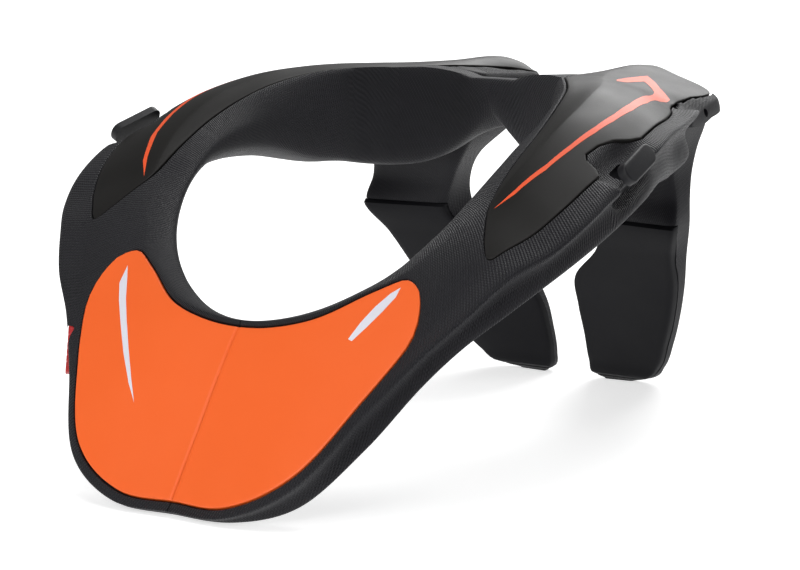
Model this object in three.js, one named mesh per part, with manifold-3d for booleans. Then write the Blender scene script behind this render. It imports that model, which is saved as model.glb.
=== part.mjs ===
// A motocross neck brace: a padded collar on the shoulders, split at the front, with hard
// plates let into its top and two supports down the back.
// Millimetres, +Z up. The wearer faces -Y, and the wearer's left is +X. The brace stands on
// the lower edge of its chest part and on its two back legs.
import * as THREE from 'three';
import { mergeVertices } from 'three/addons/utils/BufferGeometryUtils.js';
import Module from 'manifold-3d';

const wasm = await Module();
wasm.setup();

// Driving sizes of the whole brace
const bodyHalfWidth = 118; // neck axis to the outer edge at the shoulder
const bodyHalfDepth = 118; // neck axis to the front edge at the seam
const crestHeight = 135; // floor to the ridge of the shoulder plates

// Sizes of the padding
const seamGap = 0.6; // the front split
const floorRounding = 0.8; // how softly the padding's foot flattens on the floor
const grooveDepth = 3.5; // the long hollow in the outer wall
const backFace = 99.5; // neck axis to the padding's rear face
const crownRadius = 88; // neck axis to the top of the padding at the back

// Sizes of the plates and of what is let into the padding
const plateThickness = 2.2;
const clearance = 0.35; // between pieces that touch
const plateEdgeGap = 0.5; // the dark line round each plate
const plateBedGap = 0.9; // from a plate's underside to the padding below it
const chestProud = 0.2; // how far the chest plates stand out of the padding
const tabHead = { length: 24, height: 8, thickness: 3.4, rounding: 3.6 };
const tabStem = { length: 9, height: 4.4, thickness: 9.4 };
const tabHollow = 5; // depth of the hollow round the tab
const tabPlace = { angle: 93.6, out: 7.8 }; // out from the deck's outer edge to the head's face
const button = { length: 18, height: 6.6, thickness: 9, rounding: 2.4 };
const buttonRib = { width: 1.1, depth: 0.7, pitch: 2.6 };
const buttonTravel = 2.5;
const buttonPlace = { angle: 42, drop: 0.4, out: 1.9 }; // share from the edge down to the lip, and out
const clasp = { length: 44, height: 16, thickness: 3, rounding: 3 };
const claspRadius = 81; // distance of the clasp from the neck axis, in shares
const claspDrop = 0.8; // from the plates' underside to the clasp

// Sizes of the back legs
const legPadThickness = 4.4;
const legPadTop = 75; // height of the pad's upper edge
const legPadStep = 1.2; // how far the pad stands proud of the leg above it
const legPadRounding = 1.6; // how far its long edges fall back

const buttonFacing = new THREE.Vector3(-0.72, -0.6, 0.1).normalize();
const rimHole = { radius: 1.7, depth: 6, across: 64, along: 102.9, rise: 87.1 }; // in each wing's side

const degrees = THREE.MathUtils.degToRad;
const lerp = THREE.MathUtils.lerp;

// The top surface that the plates lie in, as sections round the neck. The angle runs from
// the front seam (0) over the left shoulder (90) to the back (180). Each section goes from
// the plates' inner edge over the ridge and the painted line to their outer edge. Radii are
// hundredths of the body's half width and half depth, heights are hundredths of the crest's.
const deckSections = [
  { angle: 0, inR: 63.6, inZ: 46.3, ridgeR: 74.6, ridgeZ: 34.3, lineR: 87, lineZ: 19.2, outR: 100.8, outZ: 2.6 },
  { angle: 12, inR: 65, inZ: 47.4, ridgeR: 76.3, ridgeZ: 35.4, lineR: 89.8, lineZ: 19.6, outR: 103.6, outZ: 3.6 },
  { angle: 24, inR: 67, inZ: 50.4, ridgeR: 78, ridgeZ: 39.8, lineR: 90.6, lineZ: 27, outR: 103.4, outZ: 13 },
  { angle: 36, inR: 67.4, inZ: 55.6, ridgeR: 75.6, ridgeZ: 49.4, lineR: 85.2, lineZ: 41.2, outR: 95.4, outZ: 32 },
  { angle: 46, inR: 69.4, inZ: 60.4, ridgeR: 75.5, ridgeZ: 56.8, lineR: 82.4, lineZ: 52.2, outR: 90, outZ: 46.2 },
  { angle: 54, inR: 69.5, inZ: 66.2, ridgeR: 75, ridgeZ: 64.2, lineR: 81.4, lineZ: 61.2, outR: 89, outZ: 56.2 },
  { angle: 62, inR: 69, inZ: 71.9, ridgeR: 74.2, ridgeZ: 71, lineR: 80.5, lineZ: 69.2, outR: 89.2, outZ: 65.4 },
  { angle: 70, inR: 67.4, inZ: 77, ridgeR: 70.5, ridgeZ: 77.5, lineR: 75.2, lineZ: 77.2, outR: 92.4, outZ: 71 },
  { angle: 76, inR: 65.3, inZ: 81.4, ridgeR: 69.6, ridgeZ: 82.6, lineR: 75.2, lineZ: 82.4, outR: 93.8, outZ: 76.2 },
  { angle: 84, inR: 63.1, inZ: 86, ridgeR: 69.5, ridgeZ: 87.8, lineR: 77.6, lineZ: 87.4, outR: 94, outZ: 82 },
  { angle: 98, inR: 61.6, inZ: 91.8, ridgeR: 70, ridgeZ: 94.5, lineR: 82.2, lineZ: 93.6, outR: 93.7, outZ: 88 },
  { angle: 111, inR: 61.8, inZ: 96, ridgeR: 71.7, ridgeZ: 98.2, lineR: 85.6, lineZ: 97, outR: 95, outZ: 91.4 },
  { angle: 120, inR: 62.8, inZ: 98, ridgeR: 73.8, ridgeZ: 100, lineR: 88, lineZ: 98.4, outR: 97.6, outZ: 91.8 },
  { angle: 130, inR: 64.8, inZ: 99.6, ridgeR: 77, ridgeZ: 100.6, lineR: 90.6, lineZ: 98.4, outR: 100.4, outZ: 91.4 },
  { angle: 138, inR: 66.6, inZ: 100.2, ridgeR: 79.8, ridgeZ: 100.6, lineR: 92.6, lineZ: 97.8, outR: 103.6, outZ: 91 },
  { angle: 145, inR: 69, inZ: 100.2, ridgeR: 83, ridgeZ: 100.2, lineR: 97, lineZ: 97, outR: 110.8, outZ: 90.4 },
  { angle: 149, inR: 71, inZ: 100, ridgeR: 86.4, ridgeZ: 99.8, lineR: 103.4, lineZ: 96.4, outR: 123.4, outZ: 90 },
  { angle: 153, inR: 73.4, inZ: 99.6, ridgeR: 90, ridgeZ: 99.4, lineR: 111, lineZ: 96, outR: 134.4, outZ: 90 },
  { angle: 157, inR: 79, inZ: 99.2, ridgeR: 95.4, ridgeZ: 99, lineR: 116, lineZ: 96.2, outR: 136.2, outZ: 91.6 },
  { angle: 161, inR: 88, inZ: 98.6, ridgeR: 102.6, ridgeZ: 98.6, lineR: 117.8, lineZ: 97.2, outR: 133, outZ: 94.4 },
  { angle: 166, inR: 102.6, inZ: 97, ridgeR: 112, ridgeZ: 97.8, lineR: 121.4, lineZ: 98, outR: 131, outZ: 97 },
  { angle: 170, inR: 115.6, inZ: 95.2, ridgeR: 120, ridgeZ: 96, lineR: 124.2, lineZ: 96.2, outR: 128.6, outZ: 95.6 },
  { angle: 173.5, inR: 123.4, inZ: 93.4, ridgeR: 123.8, ridgeZ: 93.4, lineR: 124.2, lineZ: 93.4, outR: 124.6, outZ: 93.4 },
];

// The padding below that surface: how far its outer edge stands out past the plates and
// lies below them, its inner rim, the lip at the foot of its outer wall and its underside,
// in the same shares.
const padSections = [
  { angle: 0, edgeOut: 1, edgeDown: 1, rimR: 60.2, rimZ: 44.8, lipR: 98.5, lipZ: 0, underZ: 35 },
  { angle: 12, edgeOut: 0.8, edgeDown: 1.2, rimR: 59.6, rimZ: 46, lipR: 99.6, lipZ: 0, underZ: 36 },
  { angle: 24, edgeOut: 0.9, edgeDown: 2, rimR: 59, rimZ: 49, lipR: 95.8, lipZ: 4.4, underZ: 39 },
  { angle: 36, edgeOut: 2, edgeDown: 3, rimR: 59.4, rimZ: 54, lipR: 94.4, lipZ: 19.4, underZ: 44 },
  { angle: 46, edgeOut: 5.4, edgeDown: 3.7, rimR: 60, rimZ: 59.8, lipR: 92, lipZ: 33.8, underZ: 50.4 },
  { angle: 54, edgeOut: 8.6, edgeDown: 3.7, rimR: 60, rimZ: 65.4, lipR: 93.4, lipZ: 43.8, underZ: 57.6 },
  { angle: 62, edgeOut: 9.8, edgeDown: 3.6, rimR: 59.2, rimZ: 70.8, lipR: 95.6, lipZ: 51.6, underZ: 65.2 },
  { angle: 70, edgeOut: 9.2, edgeDown: 3.4, rimR: 57.8, rimZ: 76, lipR: 97, lipZ: 58.4, underZ: 72 },
  { angle: 84, edgeOut: 7.4, edgeDown: 3, rimR: 55.8, rimZ: 82.8, lipR: 97, lipZ: 67.4, underZ: 78.8 },
  { angle: 98, edgeOut: 6, edgeDown: 2.2, rimR: 54, rimZ: 86.4, lipR: 96.4, lipZ: 74, underZ: 80.8 },
  { angle: 113, edgeOut: 5, edgeDown: 1.6, rimR: 54.8, rimZ: 87, lipR: 95, lipZ: 76.4, underZ: 79.6 },
  { angle: 128, edgeOut: 5.2, edgeDown: 1.8, rimR: 57, rimZ: 85.4, lipR: 98, lipZ: 74.6, underZ: 75.6 },
  { angle: 138, edgeOut: 8.6, edgeDown: 3.4, rimR: 61, rimZ: 83, lipR: 107.6, lipZ: 77.4, underZ: 74 },
  { angle: 142, edgeOut: 7, edgeDown: 3.7, rimR: 63, rimZ: 82.2, lipR: 106, lipZ: 77, underZ: 73 },
  { angle: 146, edgeOut: 3, edgeDown: 3.7, rimR: 64.4, rimZ: 81.6, lipR: 99, lipZ: 75, underZ: 72.4 },
  { angle: 153, edgeOut: 2, edgeDown: 3.7, rimR: 67.8, rimZ: 81.4, lipR: 90.6, lipZ: 73.4, underZ: 71.6 },
  { angle: 160, edgeOut: 2, edgeDown: 3.7, rimR: 70.4, rimZ: 83, lipR: 86.4, lipZ: 74, underZ: 72 },
  { angle: 167, edgeOut: 2, edgeDown: 3.7, rimR: 71.6, rimZ: 86, lipR: 84, lipZ: 76, underZ: 75 },
  { angle: 174, edgeOut: 2, edgeDown: 3.7, rimR: 72, rimZ: 90, lipR: 82.4, lipZ: 80, underZ: 81 },
  { angle: 180, edgeOut: 2, edgeDown: 3.7, rimR: 72, rimZ: 92.4, lipR: 82, lipZ: 82, underZ: 87 },
];

// Where the plates lie between the deck's inner edge (0), ridge (1), line (2) and outer
// edge (3). The first block is the chest plate, the second the shoulder plate.
const chestBorders = [
  { angle: 0, from: 0.08, to: 2.94 },
  { angle: 40, from: 0.08, to: 2.94 },
  { angle: 44.5, from: 0.12, to: 2.88 },
  { angle: 46.8, from: 0.4, to: 2.5 },
  { angle: 48, from: 0.95, to: 1.95 },
];
const shoulderBorders = [
  { angle: 61.5, from: 2.6, to: 2.82 },
  { angle: 62.3, from: 2.2, to: 2.93 },
  { angle: 64, from: 1.72, to: 2.95 },
  { angle: 66.5, from: 1.2, to: 2.95 },
  { angle: 70.5, from: 0.5, to: 2.95 },
  { angle: 76, from: 0.14, to: 2.95 },
  { angle: 84, from: 0.06, to: 2.95 },
  { angle: 87, from: 0.06, to: 2.95 },
  { angle: 89.5, from: 0.06, to: 2.45 },
  { angle: 98.5, from: 0.06, to: 2.45 },
  { angle: 101, from: 0.06, to: 2.94 },
  { angle: 180, from: 0.06, to: 2.94 },
];

// Sections of a back leg from the floor to the wing's underside, as plan corners. Plan
// places are hundredths of the body's half width and half depth from the neck axis, and
// heights hundredths of the crest's.
const legSections = [
  { z: 0, frontIn: [12.5, 122.6], frontOut: [23, 123.4], backOut: [24, 126], backMid: [19, 126.6], backIn: [13, 126] },
  { z: 1.5, frontIn: [9.4, 120.6], frontOut: [30, 120.6], backOut: [31, 125.4], backMid: [20, 126.4], backIn: [9.8, 126] },
  { z: 6, frontIn: [8, 119.6], frontOut: [36.8, 117.8], backOut: [37.4, 123], backMid: [22, 125.2], backIn: [8.2, 125] },
  { z: 14.8, frontIn: [7.8, 117], frontOut: [43.4, 112], backOut: [44, 118.4], backMid: [25, 122], backIn: [8, 122.6] },
  { z: 24.5, frontIn: [8.4, 112.4], frontOut: [49.4, 106.2], backOut: [49.8, 113.2], backMid: [28, 118], backIn: [8.8, 119.4] },
  { z: 34.8, frontIn: [12, 105.2], frontOut: [54.4, 100.2], backOut: [54.8, 108], backMid: [32, 112.6], backIn: [12.4, 113.8] },
  { z: 45.2, frontIn: [26, 97], frontOut: [58, 92.8], backOut: [59, 102.6], backMid: [41, 106.6], backIn: [24, 108] },
  { z: 55, frontIn: [31.6, 89.8], frontOut: [63.4, 85.6], backOut: [61.8, 100], backMid: [45, 103.2], backIn: [28.6, 104.6] },
  { z: 63, frontIn: [27, 87.4], frontOut: [62, 88.6], backOut: [62, 100], backMid: [45, 103], backIn: [29, 104] },
  { z: 70, frontIn: [21.4, 84.6], frontOut: [61.4, 87.4], backOut: [61.8, 102], backMid: [43, 106], backIn: [26.4, 106.4] },
  { z: 77, frontIn: [17, 83.8], frontOut: [63.6, 85], backOut: [61.8, 106], backMid: [38, 112], backIn: [18.6, 112] },
  { z: 84, frontIn: [13.4, 83.8], frontOut: [66.4, 84.6], backOut: [61.8, 112], backMid: [32, 121], backIn: [13, 120.6] },
];
const wingCorners = { frontIn: [12.8, 83.8], frontOut: [70, 84.4], backOut: [63.4, 120], backMid: [31.2, 127.6], backIn: [12.4, 125.4] };
const wingCentre = [38, 104];
const legCornerRounding = 0.28; // share of each side that its rounded corners take

// Turns rows with an angle into a smooth function of the angle.
function smoothRows(rows) {
  const keys = Object.keys(rows[0]).filter((key) => key !== 'angle');
  const values = rows.flatMap((row) => keys.map((key) => row[key]));
  const curve = new THREE.CubicInterpolant(rows.map((row) => row.angle), values, keys.length);
  curve.settings = { endingStart: THREE.ZeroSlopeEnding, endingEnd: THREE.ZeroSlopeEnding };
  return (angle) => {
    const result = curve.evaluate(THREE.MathUtils.clamp(angle, rows[0].angle, rows.at(-1).angle));
    return Object.fromEntries(keys.map((key, index) => [key, result[index]]));
  };
}

const deckAt = smoothRows(deckSections);
const padAt = smoothRows(padSections);

// Straight-line values between rows, for the plates' borders.
function borderAt(rows, angle) {
  const next = Math.max(1, rows.findIndex((row) => row.angle >= angle));
  const [low, high] = [rows[next - 1], rows[next]];
  const share = THREE.MathUtils.clamp((angle - low.angle) / (high.angle - low.angle), 0, 1);
  return { from: lerp(low.from, high.from, share), to: lerp(low.to, high.to, share) };
}

// The deck's four radii at an angle, and the height over any radius.
function deckRadii(angle) {
  const row = deckAt(angle);
  return [row.inR, row.ridgeR, row.lineR, row.outR];
}

function deckRise(angle, radius) {
  const row = deckAt(angle);
  const radii = [row.inR, row.ridgeR, row.lineR, row.outR];
  const heights = [row.inZ, row.ridgeZ, row.lineZ, row.outZ];
  const curve = new THREE.CubicInterpolant(radii, heights, 1);
  if (radius < radii[0]) {
    return heights[0] + (radii[0] - radius) * 0.07;
  }
  if (radius > radii[3]) {
    return heights[3] - (radius - radii[3]) * 0.5;
  }
  return curve.evaluate(radius)[0];
}

// A point of a section: the angle may run past 180 to the wearer's right.
function place(angle, radius, rise) {
  const turn = degrees(angle);
  const x = (Math.sin(turn) * radius * bodyHalfWidth) / 100;
  const y = (-Math.cos(turn) * radius * bodyHalfDepth) / 100;
  return new THREE.Vector3(x, y, (rise * crestHeight) / 100);
}

function fold(angle) {
  return angle > 180 ? 360 - angle : angle;
}

function deckPoint(angle, radius) {
  return place(angle, radius, deckRise(fold(angle), radius));
}

// The deck's height and upward normal at a place in plan.
function deckHeight(x, y) {
  const [across, along] = [(100 * Math.abs(x)) / bodyHalfWidth, (100 * y) / bodyHalfDepth];
  const angle = THREE.MathUtils.radToDeg(Math.atan2(across, -along));
  return (deckRise(angle, Math.hypot(across, along)) * crestHeight) / 100;
}

function deckNormal(point) {
  const reach = 0.6;
  const [x, y] = [point.x, point.y];
  const slopeX = (deckHeight(x + reach, y) - deckHeight(x - reach, y)) / (2 * reach);
  const slopeY = (deckHeight(x, y + reach) - deckHeight(x, y - reach)) / (2 * reach);
  return new THREE.Vector3(-slopeX, -slopeY, 1).normalize();
}

// The radius at a place between the deck's inner edge (0) and outer edge (3).
function radiusAt(angle, along) {
  const radii = deckRadii(angle);
  const step = Math.min(2, Math.floor(along));
  return lerp(radii[step], radii[step + 1], along - step);
}

// Closes a list of equal loops of points into one solid with flat ends.
function solidFromLoops(loops) {
  const count = loops[0].length;
  const points = loops.flat();
  const faces = [];
  for (let row = 0; row < loops.length - 1; row += 1) {
    for (let column = 0; column < count; column += 1) {
      const a = row * count + column;
      const b = row * count + ((column + 1) % count);
      faces.push([a, b, b + count], [a, b + count, a + count]);
    }
  }
  faces.push(...capFaces(loops[0], 0, true), ...capFaces(loops.at(-1), (loops.length - 1) * count, false));
  return solidFromFaces(points, faces);
}

// Triangles over a loop, found in the plane that it fits best.
function capFaces(loop, offset, flip) {
  const normal = new THREE.Vector3();
  loop.forEach((point, index) => {
    normal.add(new THREE.Vector3().crossVectors(point, loop[(index + 1) % loop.length]));
  });
  const [ax, ay, az] = normal.toArray().map(Math.abs);
  const pick = az >= ax && az >= ay ? ['x', 'y'] : ax >= ay ? ['y', 'z'] : ['z', 'x'];
  const outline = loop.map((point) => new THREE.Vector2(point[pick[0]], point[pick[1]]));
  const forward = THREE.ShapeUtils.area(outline) > 0;
  const order = outline.map((_, index) => (forward ? index : outline.length - 1 - index));
  const faces = THREE.ShapeUtils.triangulateShape(order.map((index) => outline[index]), []);
  const turned = forward === flip;
  return faces.map((face) => {
    const [a, b, c] = face.map((index) => order[index] + offset);
    return turned ? [a, c, b] : [a, b, c];
  });
}

// Welds points, drops empty triangles and turns the faces outwards.
function solidFromFaces(points, faces) {
  const raw = new THREE.BufferGeometry();
  raw.setAttribute('position', new THREE.Float32BufferAttribute(points.flatMap((p) => p.toArray()), 3));
  raw.setIndex(faces.flat());
  const welded = mergeVertices(raw, 1e-3);
  const index = Array.from(welded.index.array);
  const kept = [];
  for (let i = 0; i < index.length; i += 3) {
    const [a, b, c] = index.slice(i, i + 3);
    if (a !== b && b !== c && c !== a) {
      kept.push(a, b, c);
    }
  }
  if (signedVolume(welded, kept) < 0) {
    kept.reverse();
  }
  welded.setIndex(kept);
  welded.computeVertexNormals();
  return welded;
}

function signedVolume(geometry, index) {
  const position = geometry.getAttribute('position');
  const [a, b, c] = [new THREE.Vector3(), new THREE.Vector3(), new THREE.Vector3()];
  let volume = 0;
  for (let i = 0; i < index.length; i += 3) {
    a.fromBufferAttribute(position, index[i]);
    b.fromBufferAttribute(position, index[i + 1]);
    c.fromBufferAttribute(position, index[i + 2]);
    volume += a.dot(b.cross(c)) / 6;
  }
  return volume;
}

// The stations of the padding. A pocket is open where a plate lies in it.
const chestAngles = [0, 6, 12, 18, 24, 30, 35, 40, 44.5, 46.8, 48];
const bareAngles = [48.1, 52, 56, 59.5, 61.4];
const shoulderAngles = [
  61.5, 62.3, 64, 66.5, 70.5, 76, 80, 84, 87, 89.5, 94, 98.5, 101, 106, 111, 116, 121, 126, 131, 135, 138.5,
];
const wingAngles = [141.5, 144, 147, 150, 153, 155.5, 158, 159.8, 161];
const backAngles = [161.5, 163, 167, 173, 180];
const hollowWindow = [88.9, 99.1]; // angles of the hollow round a strap tab

const stations = [
  ...chestAngles.map((angle) => ({ angle, borders: chestBorders, sunk: true })),
  ...bareAngles.map((angle) => ({ angle, sunk: false })),
  ...shoulderAngles.map((angle) => ({ angle, borders: shoulderBorders, sunk: true })),
  ...wingAngles.map((angle) => ({ angle, borders: shoulderBorders, sunk: true, open: true })),
  ...backAngles.map((angle) => ({ angle, sunk: false, open: true })),
];

// Borders between the two plates run straight from one to the other.
function stationBorders({ angle, borders }) {
  if (borders) {
    return borderAt(borders, angle);
  }
  if (angle < shoulderBorders[0].angle) {
    return borderAt([chestBorders.at(-1), shoulderBorders[0]], angle);
  }
  return { from: 1, to: 2 };
}

// One closed loop round the padding, from the plates' inner edge outwards and back under.
function padLoop(station, side) {
  const { angle } = station;
  const spot = side > 0 ? angle : 360 - angle;
  const pad = padAt(angle);
  const radii = deckRadii(angle);
  const backRadius = (backFace * 100) / bodyHalfDepth / Math.max(0.01, -Math.cos(degrees(angle)));
  const inner = Math.min(radii[0], (crownRadius * 100) / bodyHalfDepth);
  const outer = station.open ? Math.min(radii[3], backRadius) : radii[3];
  const border = stationBorders(station);
  const keep = (radius) => THREE.MathUtils.clamp(radius, inner, outer);
  const from = keep(radiusAt(angle, border.from));
  const to = keep(station.open ? outer : radiusAt(angle, border.to));
  const middle = [0.04, 0.3, 0.52, 0.76, 0.96].map((share) => lerp(from, to, share));
  if (!station.open && border.from < 0.9) {
    middle[1] = radii[1];
    middle[2] = lerp(radii[1], radii[2], 0.5);
    middle[3] = radii[2];
  }
  const floor = station.sunk && from < to - 0.5 ? plateThickness + plateBedGap : 0;
  const sink = (radius, depth) => {
    const point = deckPoint(spot, radius);
    return point.addScaledVector(deckNormal(point), -depth);
  };
  const wallIn = lerp(from, to, 0.004);
  const wallOut = lerp(from, to, 0.996);
  const outerDepth = station.open ? floor : 0;
  const top = [
    sink(inner, 0),
    sink(from, 0),
    sink(wallIn, floor),
    ...middle.slice(1, 4).map((radius) => sink(radius, floor)),
    sink(wallOut, floor),
    sink(to, outerDepth),
    sink(outer, outerDepth),
  ];
  const wall = padSide(spot, pad, top, [middle[1], middle[3]].map((radius) => deckPoint(spot, radius)), outer);
  const loop = [...top, ...wall];
  dent(loop, angle, hollowWindow, [8, 9, 10], tabHollow);
  if (angle === 0) {
    loop.forEach((point) => point.setX((side * seamGap) / 2));
  }
  loop.forEach((point) => point.setZ((point.z + Math.hypot(point.z, floorRounding)) / 2));
  return loop;
}

// The upper and lower corners of the outer wall, below a point of the deck's outer edge.
function wallCorners(spot, pad, outerPoint, outer = deckRadii(fold(spot))[3]) {
  const edge = place(spot, outer + pad.edgeOut, (outerPoint.z * 100) / crestHeight - pad.edgeDown);
  return { edge, lip: place(spot, pad.lipR, pad.lipZ) };
}

// The outer wall, underside and inner wall, through their named corners.
function padSide(spot, pad, top, guides, outer) {
  const outerPoint = top.at(-1);
  const scale = 100 / bodyHalfWidth;
  const { edge, lip } = wallCorners(spot, pad, outerPoint, outer);
  [edge, lip].forEach((corner) => corner.setY(Math.min(corner.y, backFace)));
  const outerTurn = degrees(spot);
  const inwards = new THREE.Vector3(-Math.sin(outerTurn), Math.cos(outerTurn), 0);
  const hollow = grooveDepth * THREE.MathUtils.smoothstep(edge.distanceTo(lip), 4, 16);
  const groove = edge.clone().lerp(lip, 0.42).addScaledVector(inwards, hollow);
  const under = place(spot, pad.rimR + 2 * scale, pad.underZ);
  const rim = place(spot, pad.rimR, pad.rimZ);
  const curve = new THREE.CatmullRomCurve3(
    [guides[1], outerPoint, edge, groove, lip, under, rim, top[0], guides[0]],
    false,
    'centripetal',
  );
  const spans = [2, 1, 2, 3, 3, 2];
  const points = [];
  spans.forEach((count, span) => {
    for (let step = 0; step < count; step += 1) {
      points.push(curve.getPoint((1 + span + (step + 1) / count) / 8));
    }
  });
  points.pop();
  return points;
}

// Presses some points of a loop into the padding where its angle is in the window.
function dent(loop, angle, [start, end], columns, depth) {
  if (angle < start || angle > end) {
    return;
  }
  const centre = loop.reduce((sum, point) => sum.add(point), new THREE.Vector3()).divideScalar(loop.length);
  columns.forEach((column) => {
    const inward = centre.clone().sub(loop[column]).normalize();
    loop[column].addScaledVector(inward, depth);
  });
}

// Moves between three.js geometry and manifold solids.
function toManifold(geometry) {
  const position = geometry.getAttribute('position');
  return new wasm.Manifold(new wasm.Mesh({
    numProp: 3,
    vertProperties: new Float32Array(position.array),
    triVerts: new Uint32Array(geometry.index.array),
  }));
}

function fromManifold(solid) {
  const mesh = solid.getMesh();
  const geometry = new THREE.BufferGeometry();
  geometry.setAttribute('position', new THREE.BufferAttribute(new Float32Array(mesh.vertProperties), 3));
  geometry.setIndex(Array.from(mesh.triVerts));
  geometry.computeVertexNormals();
  return geometry;
}

function without(geometry, ...cutters) {
  const solid = cutters.reduce((rest, cutter) => rest.subtract(toManifold(cutter)), toManifold(geometry));
  const [largest] = solid.decompose().sort((a, b) => b.volume() - a.volume());
  return fromManifold(largest);
}

function collarPadding() {
  const left = stations.map((station) => padLoop(station, 1));
  const right = stations.slice(0, -1).reverse().map((station) => padLoop(station, -1));
  return solidFromLoops([...left, ...right]);
}

// A block with a rounded outline, seen along +Z, whose outer face lies at z = 0.
function roundedBlock({ length, height, thickness, rounding }, grow = 0) {
  const [x, y] = [length / 2 + grow, height / 2 + grow];
  const corner = rounding + grow;
  const outline = new THREE.Shape();
  outline.absarc(x - corner, y - corner, corner, 0, Math.PI / 2, false);
  outline.absarc(corner - x, y - corner, corner, Math.PI / 2, Math.PI, false);
  outline.absarc(corner - x, corner - y, corner, Math.PI, 1.5 * Math.PI, false);
  outline.absarc(x - corner, corner - y, corner, 1.5 * Math.PI, 2 * Math.PI, false);
  const block = new THREE.ExtrudeGeometry(outline, { depth: thickness + 2 * grow, bevelEnabled: false, curveSegments: 5 });
  block.translate(0, 0, -thickness - grow);
  block.deleteAttribute('normal');
  block.deleteAttribute('uv');
  return mergeVertices(block, 1e-4);
}

// Stands a block on a surface: its length runs along one direction and it faces another.
function stand(geometry, point, along, facing) {
  const across = new THREE.Vector3().crossVectors(facing, along).normalize();
  const length = new THREE.Vector3().crossVectors(across, facing).normalize();
  const frame = new THREE.Matrix4().makeBasis(length, across, facing.clone().normalize());
  return geometry.applyMatrix4(frame.setPosition(point));
}

// The strap tab: an oblong head on a short stem that is let into the padding.
function onShoulder(geometry, side) {
  const angle = side > 0 ? tabPlace.angle : 360 - tabPlace.angle;
  const edge = deckPoint(angle, deckRadii(tabPlace.angle)[3]);
  const centre = edge.add(new THREE.Vector3(side * tabPlace.out, 0, 0));
  return stand(geometry, centre, new THREE.Vector3(0, 0.94, 0.34), new THREE.Vector3(side * 0.86, 0, 0.5));
}

function tabStemBlock(side, grow) {
  const stem = roundedBlock({ ...tabStem, rounding: 2 }, grow);
  return onShoulder(stem.translate(0, 0, -tabHead.thickness / 2), side);
}

function strapTab(side) {
  const head = onShoulder(roundedBlock(tabHead), side);
  return fromManifold(toManifold(head).add(toManifold(tabStemBlock(side, 0))));
}

// The release button lies across the padding's edge, with ribs along its face.
function onButtonPlace(geometry) {
  const angle = 360 - buttonPlace.angle;
  const { edge, lip } = wallCorners(angle, padAt(buttonPlace.angle), deckPoint(angle, deckRadii(buttonPlace.angle)[3]));
  const centre = edge.lerp(lip, buttonPlace.drop).addScaledVector(buttonFacing, buttonPlace.out);
  return stand(geometry, centre, new THREE.Vector3(-0.36, 0.32, 0.88), buttonFacing);
}

function buttonWell() {
  const size = { ...button, thickness: button.thickness + buttonTravel };
  return onButtonPlace(roundedBlock(size, clearance));
}

function releaseButton() {
  const body = toManifold(roundedBlock(button));
  const ribs = Math.floor(button.length / buttonRib.pitch) - 1;
  let ribbed = body;
  for (let rib = 0; rib < ribs; rib += 1) {
    const groove = new THREE.BoxGeometry(buttonRib.width, button.height * 2, buttonRib.depth * 2);
    groove.translate((rib - (ribs - 1) / 2) * buttonRib.pitch, 0, 0);
    groove.deleteAttribute('normal');
    groove.deleteAttribute('uv');
    ribbed = ribbed.subtract(toManifold(mergeVertices(groove, 1e-4)));
  }
  return onButtonPlace(fromManifold(ribbed));
}

// The clasp lies under the two chest plates and crosses the seam between them.
function frontClasp(grow) {
  const low = deckPoint(0, claspRadius + 6);
  const high = deckPoint(0, claspRadius - 6);
  const facing = new THREE.Vector3(0, high.z - low.z, low.y - high.y);
  facing.multiplyScalar(Math.sign(facing.z)).normalize();
  const depth = plateThickness + claspDrop;
  const middle = low.lerp(high, 0.5).addScaledVector(facing, -depth);
  return stand(roundedBlock(clasp, grow), middle, new THREE.Vector3(1, 0, 0), facing);
}

// The radii of a plate's points: on the ridge and the line where the plate covers them.
function plateColumns(border, from, to, angle) {
  if (border.from > 0.9 || border.to < 2.1) {
    return [0, 0.16, 0.33, 0.5, 0.67, 0.84, 1].map((share) => lerp(from, to, share));
  }
  const [, ridge, line] = deckRadii(angle);
  return [from, lerp(from, ridge, 0.5), ridge, lerp(ridge, line, 0.5), line, lerp(line, to, 0.5), to];
}

// A plate let into the deck: a sheet between its borders with an even thickness.
function deckPlate(borders, angles, side, proud, grow = 0) {
  const rows = angles.map((angle) => {
    const border = borderAt(borders, angle);
    const gap = ((plateEdgeGap - grow) * 100) / bodyHalfWidth;
    const from = radiusAt(angle, border.from) + gap;
    const to = Math.max(from, radiusAt(angle, border.to) - gap);
    return plateColumns(border, from, to, angle).map((radius) => {
      const point = deckPoint(side > 0 ? angle : 360 - angle, radius);
      return angle === 0 ? point.setX((side * seamGap) / 2) : point;
    });
  });
  const offset = (depth) => rows.map((row) => row.map((point) => {
    const moved = point.clone().addScaledVector(deckNormal(point), -depth);
    return rows[0] === row && angles[0] === 0 ? moved.setX(point.x) : moved;
  }));
  return solidFromSheets(offset(-proud - grow), offset(plateThickness + grow));
}

// Joins two equal grids of points into one closed sheet.
function solidFromSheets(upper, lower) {
  const columns = upper[0].length;
  const rows = upper.length;
  const points = [...upper.flat(), ...lower.flat()];
  const under = rows * columns;
  const faces = [];
  const quad = (a, b, c, d) => faces.push([a, b, c], [a, c, d]);
  for (let row = 0; row < rows - 1; row += 1) {
    for (let column = 0; column < columns - 1; column += 1) {
      const a = row * columns + column;
      quad(a, a + 1, a + columns + 1, a + columns);
      quad(under + a, under + a + columns, under + a + columns + 1, under + a + 1);
    }
    const [left, right] = [row * columns, row * columns + columns - 1];
    quad(left, left + columns, under + left + columns, under + left);
    quad(right, under + right, under + right + columns, right + columns);
  }
  for (let column = 0; column < columns - 1; column += 1) {
    const last = (rows - 1) * columns + column;
    quad(column, under + column, under + column + 1, column + 1);
    quad(last, last + 1, under + last + 1, under + last);
  }
  return solidFromFaces(points, faces);
}

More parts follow.
